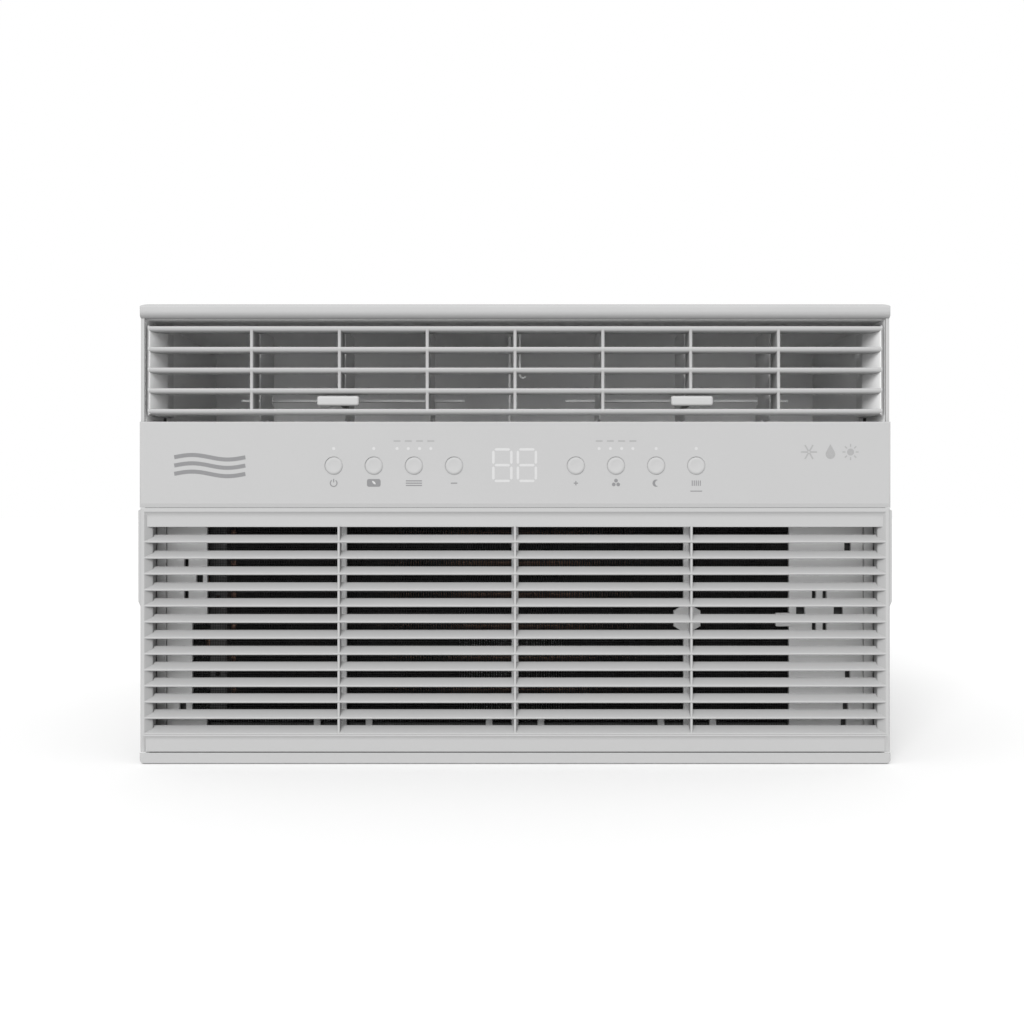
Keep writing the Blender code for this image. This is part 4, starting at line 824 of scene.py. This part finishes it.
def slat(edge):
    """Section of one slat: the face leans back from a narrow nose."""
    return fillet([
        (FRONT, edge, 0.9), (FRONT, edge + 1.5, 0.4),
        (FRONT + 8.2, edge + 6.1, 0.3), (FRONT + 10.4, edge + 5.4, 0.3),
        (FRONT + 2.2, edge, 0.6),
    ], 4)


def cove(depth, top, radius, turn_deg):
    """Hollow that drops from a lip: it faces down at its top and forward at its foot."""
    foot = top - radius * math.sin(math.radians(turn_deg))
    return [(a, b, 0) for a, b in arc(depth - radius, foot, radius, 0, turn_deg, 6)]


def intake_grille():
    """Hinged grille: stiles with draft, rails, thirteen slats, three ribs and finger ears."""
    outer = 279.5
    lip = outer - 3.1
    inner = outer - 8.2
    rear = GRILLE_HIGH.y
    low = GRILLE_LOW.z
    high = GRILLE_HIGH.z
    stiles = []
    for side in (-1, 1):
        stile = fillet([
            (side * outer, FRONT, 1.2), (side * lip, FRONT, 0.7),
            (side * inner, FRONT + 4.6, 1.5), (side * inner, rear, 0), (side * outer, rear, 0),
        ])
        stiles.append((stile, "Z", low, high, 0.4, 0.3))
    grille = bars_of("grille", stiles)
    hold = outer - 2
    top_rail = [(FRONT + 1.6, TOP_SLAT_EDGE, 0.4)]
    top_rail += cove(FRONT + 1.6, high - 2.9, 6.5, 41)
    top_rail += [
        (FRONT, high - 2.5, 0.3), (FRONT, high, 0.25), (rear, high, 0),
        (rear, TOP_SLAT_EDGE + 7.2, 0), (FRONT + 3.4, TOP_SLAT_EDGE, 0.6),
    ]
    bottom_rail = [(FRONT + 0.8, low, 0.25)]
    bottom_rail += cove(FRONT + 0.8, LAST_EDGE - 0.5, 5.5, 35)
    bottom_rail += [
        (FRONT + 1, LAST_EDGE + 1.2, 0), (rear, LAST_EDGE + 2.5, 0), (rear, low, 0),
    ]
    fuse(grille, [(fillet(top_rail), "X", -hold, hold), (fillet(bottom_rail), "X", -hold, hold)])
    slats = []
    for index in range(1, SLOT_COUNT + 1):
        slats.append((slat(TOP_SLAT_EDGE - index * SLAT_PITCH), "X", -lip, lip))
    fuse(grille, slats)
    ribs = []
    for x in (-GRILLE_RIB_X, 0, GRILLE_RIB_X):
        rib = rectangle(x - 0.95, x + 0.95, FRONT + 0.5, FRONT + 9, 0.6)
        ribs.append((rib, "Z", LAST_EDGE + 0.5, TOP_SLAT_EDGE + 0.6))
    fuse(grille, ribs)
    ears = []
    for side in (-1, 1):
        reach = GRILLE_HIGH.x * side
        hold_x = (outer - 1.5) * side
        ear = fillet([
            (hold_x, 117, 0), (outer * side, 117, 1), (reach, 121, 3),
            (reach, high - 1.4, 1.2), (hold_x, high - 1.4, 0),
        ])
        ears.append((ear, "Y", FRONT + 0.8, rear - 0.5, 0.6, 0.3))
    fuse(grille, ears)
    pivot_y = FRONT + HINGE_DEPTH
    pivot_z = low + HINGE_RISE
    half = 3.8
    reach = HINGE_ARM * math.sqrt(2) + 0.15
    notches = []
    pins = []
    for x in (-HINGE_X, HINGE_X):
        notch = rectangle(pivot_y - reach, rear + 1, 0, pivot_z + reach)
        notches.append((notch, "X", x - half, x + half))
        pins.append((circle(pivot_y, pivot_z, 1.7, 32), "X", x - half - 1, x + half + 1))
    cut(grille, notches)
    fuse(grille, pins)
    return dress(grille, FRONT_PLASTIC, "grille", "front_plastic", "intake_grille")


# --- air outlet ---

def louvre_cassette():
    """Rocking cassette: end plates, five blades, seven ribs and two pivot pins."""
    nose = CASSETTE_LOW.y
    rear = CASSETTE_HIGH.y
    half = 275.2
    thin = 1.3
    top = CASSETTE_HIGH.z
    bottom = CASSETTE_LOW.z
    end_plate = fillet([
        (nose + 0.3, bottom, 1.2), (nose + 12, bottom, 0), (rear, bottom + 3, 1),
        (rear, top - 3, 1), (nose + 12, top, 0), (nose + 0.3, top, 1.2),
    ])
    cassette = bars_of("louvre", [
        (end_plate, "X", -half, -half + thin, 0.5, 0.5), (end_plate, "X", half - thin, half, 0.5, 0.5),
    ])
    tail = nose + 24
    under = 2.5
    over = 1.5
    blades = []
    for index in range(5):
        z = TOP_BLADE - index * BLADE_PITCH
        section = fillet([
            (nose, z - under, 2.7), (nose + 10, z - under, 4), (tail, z - 0.7, 0.5),
            (tail, z + 0.8, 0.5), (nose + 4, z + over, 2), (nose, z + over, 1.1),
        ], 6)
        blades.append((section, "X", -half + 0.15, half - 0.15))
    fuse(cassette, blades)
    lowest = TOP_BLADE - 4 * BLADE_PITCH
    ribs = []
    for place in range(-3, 4):
        x = place * RIB_PITCH
        low = lowest + BLADE_PITCH if abs(place) == 2 else lowest
        rib = fillet([
            (x - 1.3, nose + 0.3, 1.1), (x + 1.3, nose + 0.3, 1.1),
            (x + 0.8, tail - 2, 0.5), (x - 0.8, tail - 2, 0.5),
        ])
        ribs.append((rib, "Z", low, TOP_BLADE))
    fuse(cassette, ribs)
    pin = circle(FRONT + 16.5, OUTLET_MIDDLE, 2.5, 32)
    reach = HALF - 1.5
    fuse(cassette, [
        (pin, "X", -reach, -half + 1, 0.4, 0), (pin, "X", half - 1, reach, 0, 0.4),
    ])
    return dress(cassette, FRONT_PLASTIC, "louvre", "front_plastic", "louvre_cassette")


def louvre_cheeks():
    """Drafted cheeks at both ends of the cassette, which the blades run into."""
    nose = CASSETTE_LOW.y + 0.9
    rear = CASSETTE_HIGH.y - 3
    outer = 273.8
    inner = 266.7
    cheeks = []
    for side in (-1, 1):
        cheek = fillet([
            (side * (outer + 0.2), nose, 0), (side * (outer + 0.2), rear, 0),
            (side * inner, rear, 1), (side * inner, nose + 22, 6),
            (side * (outer - 0.2), nose, 0),
        ])
        cheeks.append((cheek, "Z", CASSETTE_LOW.z + 1.4, TOP_BLADE))
    # The cheeks are front plastic; their lighter tone is painted light.
    return dress(bars_of("louvre_cheeks", cheeks), END_PLASTIC, "louvre", "front_plastic")


def outlet_lining():
    """Thin pale skin on the ceiling, floor and sides of the outlet tunnel: painted light that lifts the
    shade inside it.
    """
    front = FRONT + 5.7
    rear = TUNNEL_REAR - 0.5
    thin = 0.12
    half = INNER_HALF - 0.03
    low = BAND_TOP + 0.05
    high = LIP_BOTTOM - 0.03
    ring = rectangle(-half, half, low, high)
    hole = rectangle(-half + thin, half - thin, low + thin, high - thin)
    made = plate("outlet_lining", ring, [hole], "Y", front, rear)
    return dress(made, INNER_PLASTIC, "chassis", "inner_plastic")


def vane(side, number, x):
    """Upright vane with a rounded blade, pivot pins and a notched crank."""
    name = "vane_" + side + "_" + str(number)
    low, high = box(name)
    front = low.y
    rear = high.y
    notch = 3.4
    crank = VANE_CRANK - 5
    bottom = 259
    top = 330
    outline = fillet([
        (front, bottom, 2), (rear, bottom, 2), (rear, LINK_Z - notch, 0.8),
        (crank, LINK_Z - notch, 0.8), (crank, LINK_Z + notch, 0.8),
        (rear, LINK_Z + notch, 0.8), (rear, top, 2), (front, top, 2),
    ])
    made = bars_of("air_" + name, [(outline, "X", x - 0.8, x + 0.8, 0.5, 0.5)])
    for sign in (-1, 1):
        taper = [
            (x + sign * 0.12, front - 1), (x + sign * 3, front - 1),
            (x + sign * 3, front + 7), (x + sign * 0.82, front + 7),
        ]
        cut(made, [(taper, "Z", bottom - 1, top + 1)])
    pivot = circle(x, VANE_PIVOT, 2, 24)
    fuse(made, [
        (pivot, "Z", low.z, bottom + 2, 0.3, 0), (pivot, "Z", top - 2, high.z, 0, 0.3),
        (circle(x, VANE_CRANK, 1.2, 20), "Z", LINK_Z - notch - 1, LINK_Z + notch + 1),
    ])
    # The vanes' light tone is painted light over the shade in the outlet.
    return dress(made, VANE_PLASTIC, name, "inner_plastic", name)


def link_bar(side):
    """Flat tie bar with rounded ends and three pin holes."""
    name = "link_bar_" + side
    low, high = box(name)
    middle = (low.x + high.x) / 2
    holes = [circle(middle + place * RIB_PITCH, VANE_CRANK, 1.6, 24) for place in (-1, 0, 1)]
    edge = rectangle(low.x, high.x, low.y, high.y, 2.2, 5)
    made = plate("tie_" + side, edge, holes, "Z", low.z, high.z, 0.3)
    return dress(made, INNER_PLASTIC, "link_" + side, "inner_plastic", name)


def adjuster_tab(side):
    """Crowned finger tab with a forked arm on the middle vane."""
    name = "adjuster_tab_" + side
    low, high = box(name)
    middle = (low.x + high.x) / 2
    face = low.y
    shift = 1 if middle > 0 else -1
    outline = rectangle(low.x + shift, high.x + shift, low.z, high.z, 1.8, 5)
    made = bars_of("tab_" + side, [(outline, "Y", face, face + 4, 1.6, 0.6)])
    edge = box("vane_" + side + "_2")[0].y - 0.3
    fork = edge + 6
    arm = 2.2
    slot = 1.1
    z = (low.z + high.z) / 2
    forked = [
        (middle - arm, face + 3), (middle + arm, face + 3), (middle + arm, fork),
        (middle + slot, fork), (middle + slot, edge), (middle - slot, edge), (middle - slot, fork),
        (middle - arm, fork),
    ]
    fuse(made, [(forked, "Z", z - 2.5, z + 2.5, 0.4, 0.4)])
    return dress(made, TAB_PLASTIC, "vane_" + side + "_2", "tab_plastic", name)


def duct_post():
    """Thin stiffening post and a wire hook in the mouth of the duct."""
    mesh = bmesh.new()
    post = rectangle(-5.2, -3.4, FRONT + 88, FRONT + 92, 0.6)
    add_bar(mesh, post, "Z", 257.3, 331.8)
    hook_y = FRONT + 60
    foot = 297
    eye = 2.4
    hook = [(4, hook_y, 331), (4, hook_y, foot)]
    for a, b in arc(4 + eye, foot, eye, 180, 330, 7)[1:]:
        hook.append((a, hook_y, b))
    add_tube(mesh, hook, 0.8)
    return dress(solid("duct_post", mesh), INNER_PLASTIC, "chassis", "inner_plastic")


# --- filter and surround ---

def filter_frame():
    """Filter frame: rounded border, three ribs, clip slots, grip pad and base lugs."""
    left, right = FILTER_LOW.x, FILTER_HIGH.x
    low, high = FILTER_LOW.z, FILTER_HIGH.z
    face = FRONT + 30
    rear = FILTER_HIGH.y
    rib = 2.7
    rib_x = 132.6
    border = 6
    stepped = [
        (-237.5, low + border + 10), (-237.5, low + border), (-rib_x - rib, low + border),
        (-rib_x - rib, high - border), (-237.5, high - border), (-237.5, 107), (-249, 107),
        (-249, low + border + 10),
    ]
    windows = [fillet([(x, z, 1) for x, z in stepped])]
    for start, end in ((-rib_x + rib, -rib), (rib, rib_x - rib), (rib_x + rib, 211.3)):
        windows.append(rectangle(start, end, low + border, high - border, 1))
    clips = [
        (-253.6, 148, 3.2), (-253.6, 123.5, 3.2), (-243.4, 136, 5), (-256.3, 36.8, 5), (256.7, 160.7, 5),
        (230.7, 123.5, 3), (238.9, 123.5, 3), (230.7, 98.7, 3), (238.9, 98.7, 3), (220.3, 111, 6.6),
        (249.5, 111, 7), (256.7, 61.6, 4), (255, 36.8, 4), (253.5, 24.4, 4),
    ]
    for x, z, wide in clips:
        windows.append(stroke(x, z, wide / 2, 3.5, 0.6))
    edge = rectangle(left, right, low, high, 3)
    made = plate("filter_tray", edge, windows, "Y", face, rear, 0.5)
    pad = circle(rib_x, 105.7, 12, 6)
    fuse(made, [(pad, "Y", FILTER_LOW.y, face + 1.5, 0.6, 0)])
    catch = rectangle(201, 213, 99.5, 110, 1)
    bits = [(catch, "Y", face - 0.8, rear - 1, 0.3, 0)]
    for rib_middle in (-rib_x, 0, rib_x):
        for x in (rib_middle - 20, rib_middle + 20):
            lug = rectangle(x - 2.6, x + 2.6, low + 3, 28, 1)
            bits.append((lug, "Y", face - 0.6, rear - 1, 0.3, 0))
    fuse(made, bits)
    # The frame's light tone is painted light over the shade behind the grille.
    return dress(made, FRAME_PLASTIC, "chassis", "front_plastic", "filter_frame")


def filter_guides():
    """Upright guides that the filter frame slides between."""
    inner = FILTER_HIGH.x + 0.7
    outer = INNER_HALF - 0.5
    guides = []
    for start, end in ((-outer, -inner), (inner, outer)):
        guide = rectangle(start, end, FRONT + 31, FRONT + 37.6, 0.8)
        guides.append((guide, "Z", 14, 186, 0.4, 0.4))
    # The guides' light tone is painted light over the shade behind the grille.
    return dress(bars_of("filter_guides", guides), FRAME_PLASTIC, "chassis", "front_plastic")


def filter_net():
    """Woven net: level and upright strands that lie just behind each other."""
    low, high = box("filter_mesh")
    pitch = 1.9
    half = 0.16
    left, right = -251, 214
    mesh = bmesh.new()
    columns = round((right - left) / pitch)
    for column in range(columns + 1):
        x = left + (right - left) * column / columns
        add_box(mesh, (x - half, low.y, low.z), (x + half, low.y + 2 * half, high.z))
    rows = round((high.z - low.z) / pitch)
    for row in range(rows + 1):
        z = low.z + (high.z - low.z) * row / rows
        add_box(mesh, (left, low.y + 1.2 * half, z - half), (right, low.y + 3.1 * half, z + half))
    return dress(solid("filter_net", mesh), NET, "chassis", "filter_net", "filter_mesh")


def surround():
    """Plate that frames the evaporator, with clip slots, bosses and stiffening ribs."""
    left, right = -INNER_HALF + 0.1, INNER_HALF - 0.1
    low, high = SURROUND_LOW.z, SURROUND_HIGH.z
    rear = SURROUND_HIGH.y
    face = rear - 2.5
    opening = fillet([
        (-252, 24, 2), (213.7, 24, 2), (213.7, 186, 2),
        (-240.3, 186, 2), (-240.3, 106, 1), (-252, 106, 1),
    ])
    slots = [opening]
    for x in (-262, 230, 262):
        for z in (206, 232):
            slots.append(stroke(x, z, 2, 5, 1))
    made = plate("surround", rectangle(left, right, low, high, 3), slots, "Y", face, rear, 0.4)
    bosses = []
    for x, z in ((237, 121), (-262, 142)):
        bosses.append((circle(x, z, 4, 32), "Y", SURROUND_LOW.y, face + 1, 0.5, 0))
    fuse(made, bosses)
    # The surround is front plastic; its near-black tone is painted shade.
    return dress(made, SURROUND_PLASTIC, "chassis", "front_plastic", "evaporator_surround")


# --- heat exchangers ---

def exchanger(label, finish, plates, rows):
    """Stack of thin fins, one serpentine tube through them and two pierced end plates."""
    left_low, left_high = box(label + "_end_plate_left")
    right_low, right_high = box(label + "_end_plate_right")
    coil_low, coil_high = box(label + "_coil")
    bottom = left_low.z + 4
    top = left_high.z - 2
    start = left_high.x + 7.4
    end = right_low.x - 7.4
    front, back = coil_low.y, coil_high.y
    middle_y = (front + back) / 2
    first_z = (bottom + top) / 2 - (rows - 1) * COIL_PITCH / 2
    tube_r = 3.6
    count = round((end - start) / FIN_PITCH)
    mesh = bmesh.new()
    for index in range(count + 1):
        x = start + (end - start) * index / count
        add_box(mesh, (x - 0.07, front, bottom), (x + 0.07, back, top))
    dress(solid(label + "_fins", mesh), finish, "chassis", "fins", label + "_coil")
    bend = COIL_PITCH / 2
    turn_left = coil_low.x + bend + tube_r
    turn_right = coil_high.x - bend - tube_r
    route = [(start - 12, middle_y, first_z)]
    for row in range(rows):
        z = first_z + row * COIL_PITCH
        forward = row % 2 == 0
        edge = turn_right if forward else turn_left
        side = 1 if forward else -1
        if row == rows - 1:
            route.append((edge, middle_y, z))
            break
        for across, up in arc(0, z + bend, bend, -90, 90, 8):
            route.append((edge + side * across, middle_y, up))
    mesh = bmesh.new()
    add_tube(mesh, route, tube_r, 14)
    dress(solid(label + "_tubes", mesh), COPPER, "chassis", "copper")
    levels = [first_z + row * COIL_PITCH for row in range(rows)]
    holes = [circle(middle_y, level, tube_r + 0.5, 24) for level in levels]
    for side, low, high in (("left", left_low, left_high), ("right", right_low, right_high)):
        edge = rectangle(front, back, low.z, high.z, 2)
        made = plate(label + "_plate_" + side, edge, holes, "X", low.x, high.x, 0.2)
        dress(made, plates, "chassis", "galvanised", label + "_end_plate_" + side)


def coil_flanges():
    """Turned-out front flanges of the evaporator's end plates, with screw holes."""
    for side, sign in (("left", -1), ("right", 1)):
        low, high = box("evaporator_end_plate_" + side)
        edge = low.x if sign < 0 else high.x
        ends = sorted((edge - sign * 0.1, edge + sign * 12))
        outline = rectangle(ends[0], ends[1], low.z + 3, high.z - 3, 2)
        holes = [circle((ends[0] + ends[1]) / 2, z, 1.8, 20) for z in (60, 120, 180)]
        made = plate("coil_flange_" + side, outline, holes, "Y", low.y + 0.1, low.y + 1.1, 0.2)
        # The flanges are galvanised steel; their near-black finish is painted shade.
        dress(made, SHADOW_STEEL, "chassis", "galvanised")


# --- cabinet ---

SIDE_SLOTS = [(y, 120 + row * 24) for row in range(8) for y in (-50, 30)]
SIDE_SLOT = 70
TOP_SLOTS = [(x, -40 + row * 26) for row in range(5) for x in (-200, 70)]
TOP_SLOT = 130
SLOT_WIDTH = 5
SHEET = 1
FOLD = 3


def add_hood(mesh, start, end, wall, base, rise, out, turn):
    """Pressed louvre hood: a curved lip that rises from the sheet over its slot.

    turn maps (along, outward, across) to a place, so one hood serves the sides and the top.
    """
    steps = 14
    sections = 6
    thick = 0.8
    rings = []
    for step in range(steps + 1):
        share = step / steps
        bulge = 0.02
        if 0 < share < 1:
            bulge = out * min(1.0, math.sin(math.pi * share) * 2.2) ** 0.5
        deep = max(bulge - thick, -0.5)
        along = start + (end - start) * share
        outside = []
        inside = []
        for part in range(sections + 1):
            across, up = polar(0, 0, 1, 90 * part / sections)
            outside.append((along, wall + bulge * up, base + rise * across))
            inside.append((along, wall - 0.2 + deep * up, base + (rise - thick) * across))
        rings.append([mesh.verts.new(turn(*point)) for point in outside + inside[::-1]])
    skin(mesh, rings)
    mesh.faces.new(rings[0])
    mesh.faces.new(rings[-1])


def cabinet_openings():
    """Bars that open the sheet under the hoods and at the cord gland."""
    half, top = CABINET_HALF, CABINET_TOP
    openings = []
    for y, z in SIDE_SLOTS:
        slot = rectangle(y, y + SIDE_SLOT, z, z + SLOT_WIDTH, 2.4)
        openings += [(slot, "X", -half - 5, -half + 5), (slot, "X", half - 5, half + 5)]
    for x, y in TOP_SLOTS:
        slot = rectangle(x, x + TOP_SLOT, y, y + SLOT_WIDTH, 2.4)
        openings.append((slot, "Z", top - 5, top + 5))
    return openings + [(circle(-150, 40, 7.1), "X", half - 5, half + 5)]


def cabinet():
    """Wrap-round steel sheet with rounded folds, louvre slots and raised seats."""
    half, top = CABINET_HALF, CABINET_TOP
    low = CABINET_LOW.z
    inner = half - SHEET
    under = top - SHEET
    bend = FOLD - SHEET
    wrap = fillet([
        (-half, low, 0.4), (-half, top, FOLD), (half, top, FOLD), (half, low, 0.4),
        (inner, low, 0.4), (inner, under, bend), (-inner, under, bend), (-inner, low, 0.4),
    ])
    made = bars_of("cabinet_wrap", [(wrap, "Y", CABINET_LOW.y, CABINET_HIGH.y, 0.3, 0.3)])
    cut(made, cabinet_openings())
    hold = 0.4
    top_seat = rectangle(-240, 240, SEAT_FRONT, SEAT_BACK, 4, 5)
    side_seat = rectangle(SEAT_FRONT, SEAT_BACK, 20, 320, 4, 5)
    fuse(made, [
        (top_seat, "Z", top - hold, top + SEAT_RISE, 0, 0.4),
        (side_seat, "X", -half - SEAT_RISE, -half + hold, 0.4, 0),
        (side_seat, "X", half - hold, half + SEAT_RISE, 0, 0.4),
    ])
    return dress(made, CABINET_PAINT, "chassis", "cabinet_paint", "cabinet")


def cabinet_hoods():
    """Pressed hoods over the slots in both sides and the top."""
    mesh = bmesh.new()
    for y, z in SIDE_SLOTS:
        for side in (-1, 1):
            add_hood(mesh, y - 2, y + SIDE_SLOT + 2, CABINET_HALF, z - 0.5, 8, 3.2,
                     lambda along, outward, across: (side * outward, along, across))
    for x, y in TOP_SLOTS:
        add_hood(mesh, x - 2, x + TOP_SLOT + 2, CABINET_TOP, y + 5.5, -8, 2.6,
                 lambda along, outward, across: (along, across, outward))
    return dress(solid("cabinet_hoods", mesh), CABINET_PAINT, "chassis", "cabinet_paint")


def cabinet_flange():
    """Inward flange round the open back of the cabinet."""
    outer, top = CABINET_HALF - 0.5, CABINET_TOP - 0.5
    inner, under = CABINET_HALF - 12, CABINET_TOP - 12
    low = CABINET_LOW.z
    outline = fillet([
        (-outer, low, 0), (-outer, top, FOLD), (outer, top, FOLD), (outer, low, 0),
        (inner, low, 0), (inner, under, 2), (-inner, under, 2), (-inner, low, 0),
    ])
    back = CABINET_HIGH.y
    made = bars_of("cabinet_flange", [(outline, "Y", back - SHEET, back - 0.02)])
    return dress(made, CABINET_PAINT, "chassis", "cabinet_paint")


def rear_guard():
    """Outdoor guard: rounded frame, level bars and three uprights."""
    half = GUARD_HIGH.x
    low, high = GUARD_LOW.z, GUARD_HIGH.z
    face, back = GUARD_LOW.y, GUARD_HIGH.y
    border = 14
    bar_count = 23
    opening = rectangle(-half + border, half - border, low + border, high - border, 6, 6)
    edge = rectangle(-half, half, low, high, 3)
    made = plate("guard", edge, [opening], "Y", face, back, 1.6)
    ribs = []
    for x in (-135, 0, 135):
        rib = rectangle(x - 2, x + 2, face + 2.4, back - 0.4, 1)
        ribs.append((rib, "Z", low + 8, high - 8))
    fuse(made, ribs)
    bars = []
    pitch = (high - low - 2 * border) / (bar_count + 1)
    middle = (face + back) / 2 - 0.4
    for index in range(bar_count):
        z = low + border + (index + 1) * pitch
        bars.append((circle(middle, z, 1.5, 12), "X", -half + 8, half - 8))
    fuse(made, bars)
    return dress(made, CABINET_PAINT, "chassis", "cabinet_paint", "rear_guard")


def screws():
    """Hex washer-head screws along both lower edges of the cabinet."""
    for name, side in (("left", -1), ("right", 1)):
        bars = []
        for y in (-150, -15, 120, 240):
            for outline, reach in ((circle(y, 12, 4.6, 32), 0.8), (circle(y, 12, 3.4, 6), 2.4)):
                start, end = CABINET_HALF + 0.02, CABINET_HALF + reach
                if side > 0:
                    bars.append((outline, "X", start, end, 0, 0.2))
                else:
                    bars.append((outline, "X", -end, -start, 0.2, 0))
        made = bars_of("screws_" + name, bars)
        dress(made, GALVANISED, "chassis", "galvanised", "cabinet_screw_" + name)


# --- machinery kept from the model ---

KEPT = {
    BLACK_PLASTIC: ("display_module", "blower_wheel", "condenser_fan", "condenser_shroud"),
    BOARD: ("control_board", "power_board"),
    COPPER: ("discharge_pipe", "suction_pipe", "liquid_pipe", "filter_drier"),
    ENAMEL: ("compressor", "accumulator"),
    FOAM: ("bulkhead",),
    GALVANISED: ("fan_shaft", "fan_motor", "motor_bracket", "control_box", "base_pan"),
    # The light inner plastic on these inner parts is painted light over their shade.
    INNER_PLASTIC: ("outlet_duct", "blower_scroll", "blower_orifice"),
    RUBBER: ("compressor_foot_1", "compressor_foot_2", "compressor_foot_3", "cord_gland", "drain_plug"),
}


def finish_kept():
    """Materials, softened edges and smooth shading for the solids that stay."""
    for finish, names in KEPT.items():
        for name in names:
            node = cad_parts[name]
            node.data.materials.clear()
            node.data.materials.append(finish)
            weld = node.modifiers.new("weld", "WELD")
            weld.merge_threshold = 0.005 * MM
            bevel = node.modifiers.new("soften", "BEVEL")
            bevel.width = 0.3 * MM
            bevel.segments = 2
            bevel.limit_method = "ANGLE"
            bevel.angle_limit = math.radians(50)
            smooth(node, 40)


# --- stage ---

FLOOR_REACH = 30000


def far_light(name, elevation_deg, azimuth_deg, strength, spread_deg):
    """Large soft light so far off that its strength is even over the whole object."""
    light = bpy.data.lights.new(name, "SUN")
    light.energy = strength
    light.angle = math.radians(spread_deg)
    made = bpy.data.objects.new(name, light)
    up = math.radians(elevation_deg)
    turn = math.radians(azimuth_deg)
    made.location = (math.sin(turn) * math.cos(up), -math.cos(turn) * math.cos(up), math.sin(up))
    made.rotation_euler = (-made.location).to_track_quat("-Z", "Y").to_euler()
    bpy.context.scene.collection.objects.link(made)


def studio():
    """Pale floor, white surroundings, two far soft lights and the camera."""
    mesh = bmesh.new()
    bmesh.ops.create_grid(mesh, x_segments=1, y_segments=1, size=FLOOR_REACH)
    floor = solid("floor", mesh)
    floor.location.z = -0.3 * MM
    pale = plain("floor", grey(0.58), 0.9)
    pale.node_tree.nodes["Principled BSDF"].inputs["Specular IOR Level"].default_value = 0.1
    floor.data.materials.append(pale)
    world = bpy.data.worlds.new("studio")
    world.use_nodes = True
    background = world.node_tree.nodes["Background"]
    background.inputs["Color"].default_value = (1, 1, 1, 1)
    background.inputs["Strength"].default_value = 1.0
    bpy.context.scene.world = world
    far_light("key_light", 28, -10, 4.6, 40)
    far_light("top_light", 70, -10, 0.6, 60)
    camera = bpy.data.objects.new("camera", bpy.data.cameras.new("camera"))
    camera.data.sensor_width = 36
    camera.data.lens = 40.1
    camera.location = Vector((-2.3, FRONT - 850, 187.7)) * MM
    camera.rotation_euler = (math.radians(90), 0, 0)
    bpy.context.scene.collection.objects.link(camera)
    bpy.context.scene.camera = camera
    bpy.context.scene.view_settings.view_transform = "Standard"


def build():
    front_shell()
    display_digits()
    status_lights()
    key_icons()
    eco_badge()
    eco_leaf()
    mode_ticks()
    breeze_mark()
    climate_marks()
    for name, x in BUTTON_X.items():
        button(name, x)
    intake_grille()
    louvre_cassette()
    louvre_cheeks()
    outlet_lining()
    for side, sign in (("left", -1), ("right", 1)):
        for number in (1, 2, 3):
            vane(side, number, sign * 2 * RIB_PITCH + (number - 2) * RIB_PITCH)
        link_bar(side)
        adjuster_tab(side)
    duct_post()
    filter_frame()
    filter_guides()
    filter_net()
    surround()
    # The evaporator's fins and end plates take near-black copies of metal finishes: painted shade.
    exchanger("evaporator", SHADE_DARK_FINS, SHADOW_STEEL, 8)
    coil_flanges()
    exchanger("condenser", FIN_METAL, GALVANISED, 12)
    cabinet()
    cabinet_hoods()
    cabinet_flange()
    rear_guard()
    screws()
    finish_kept()
    studio()


build()
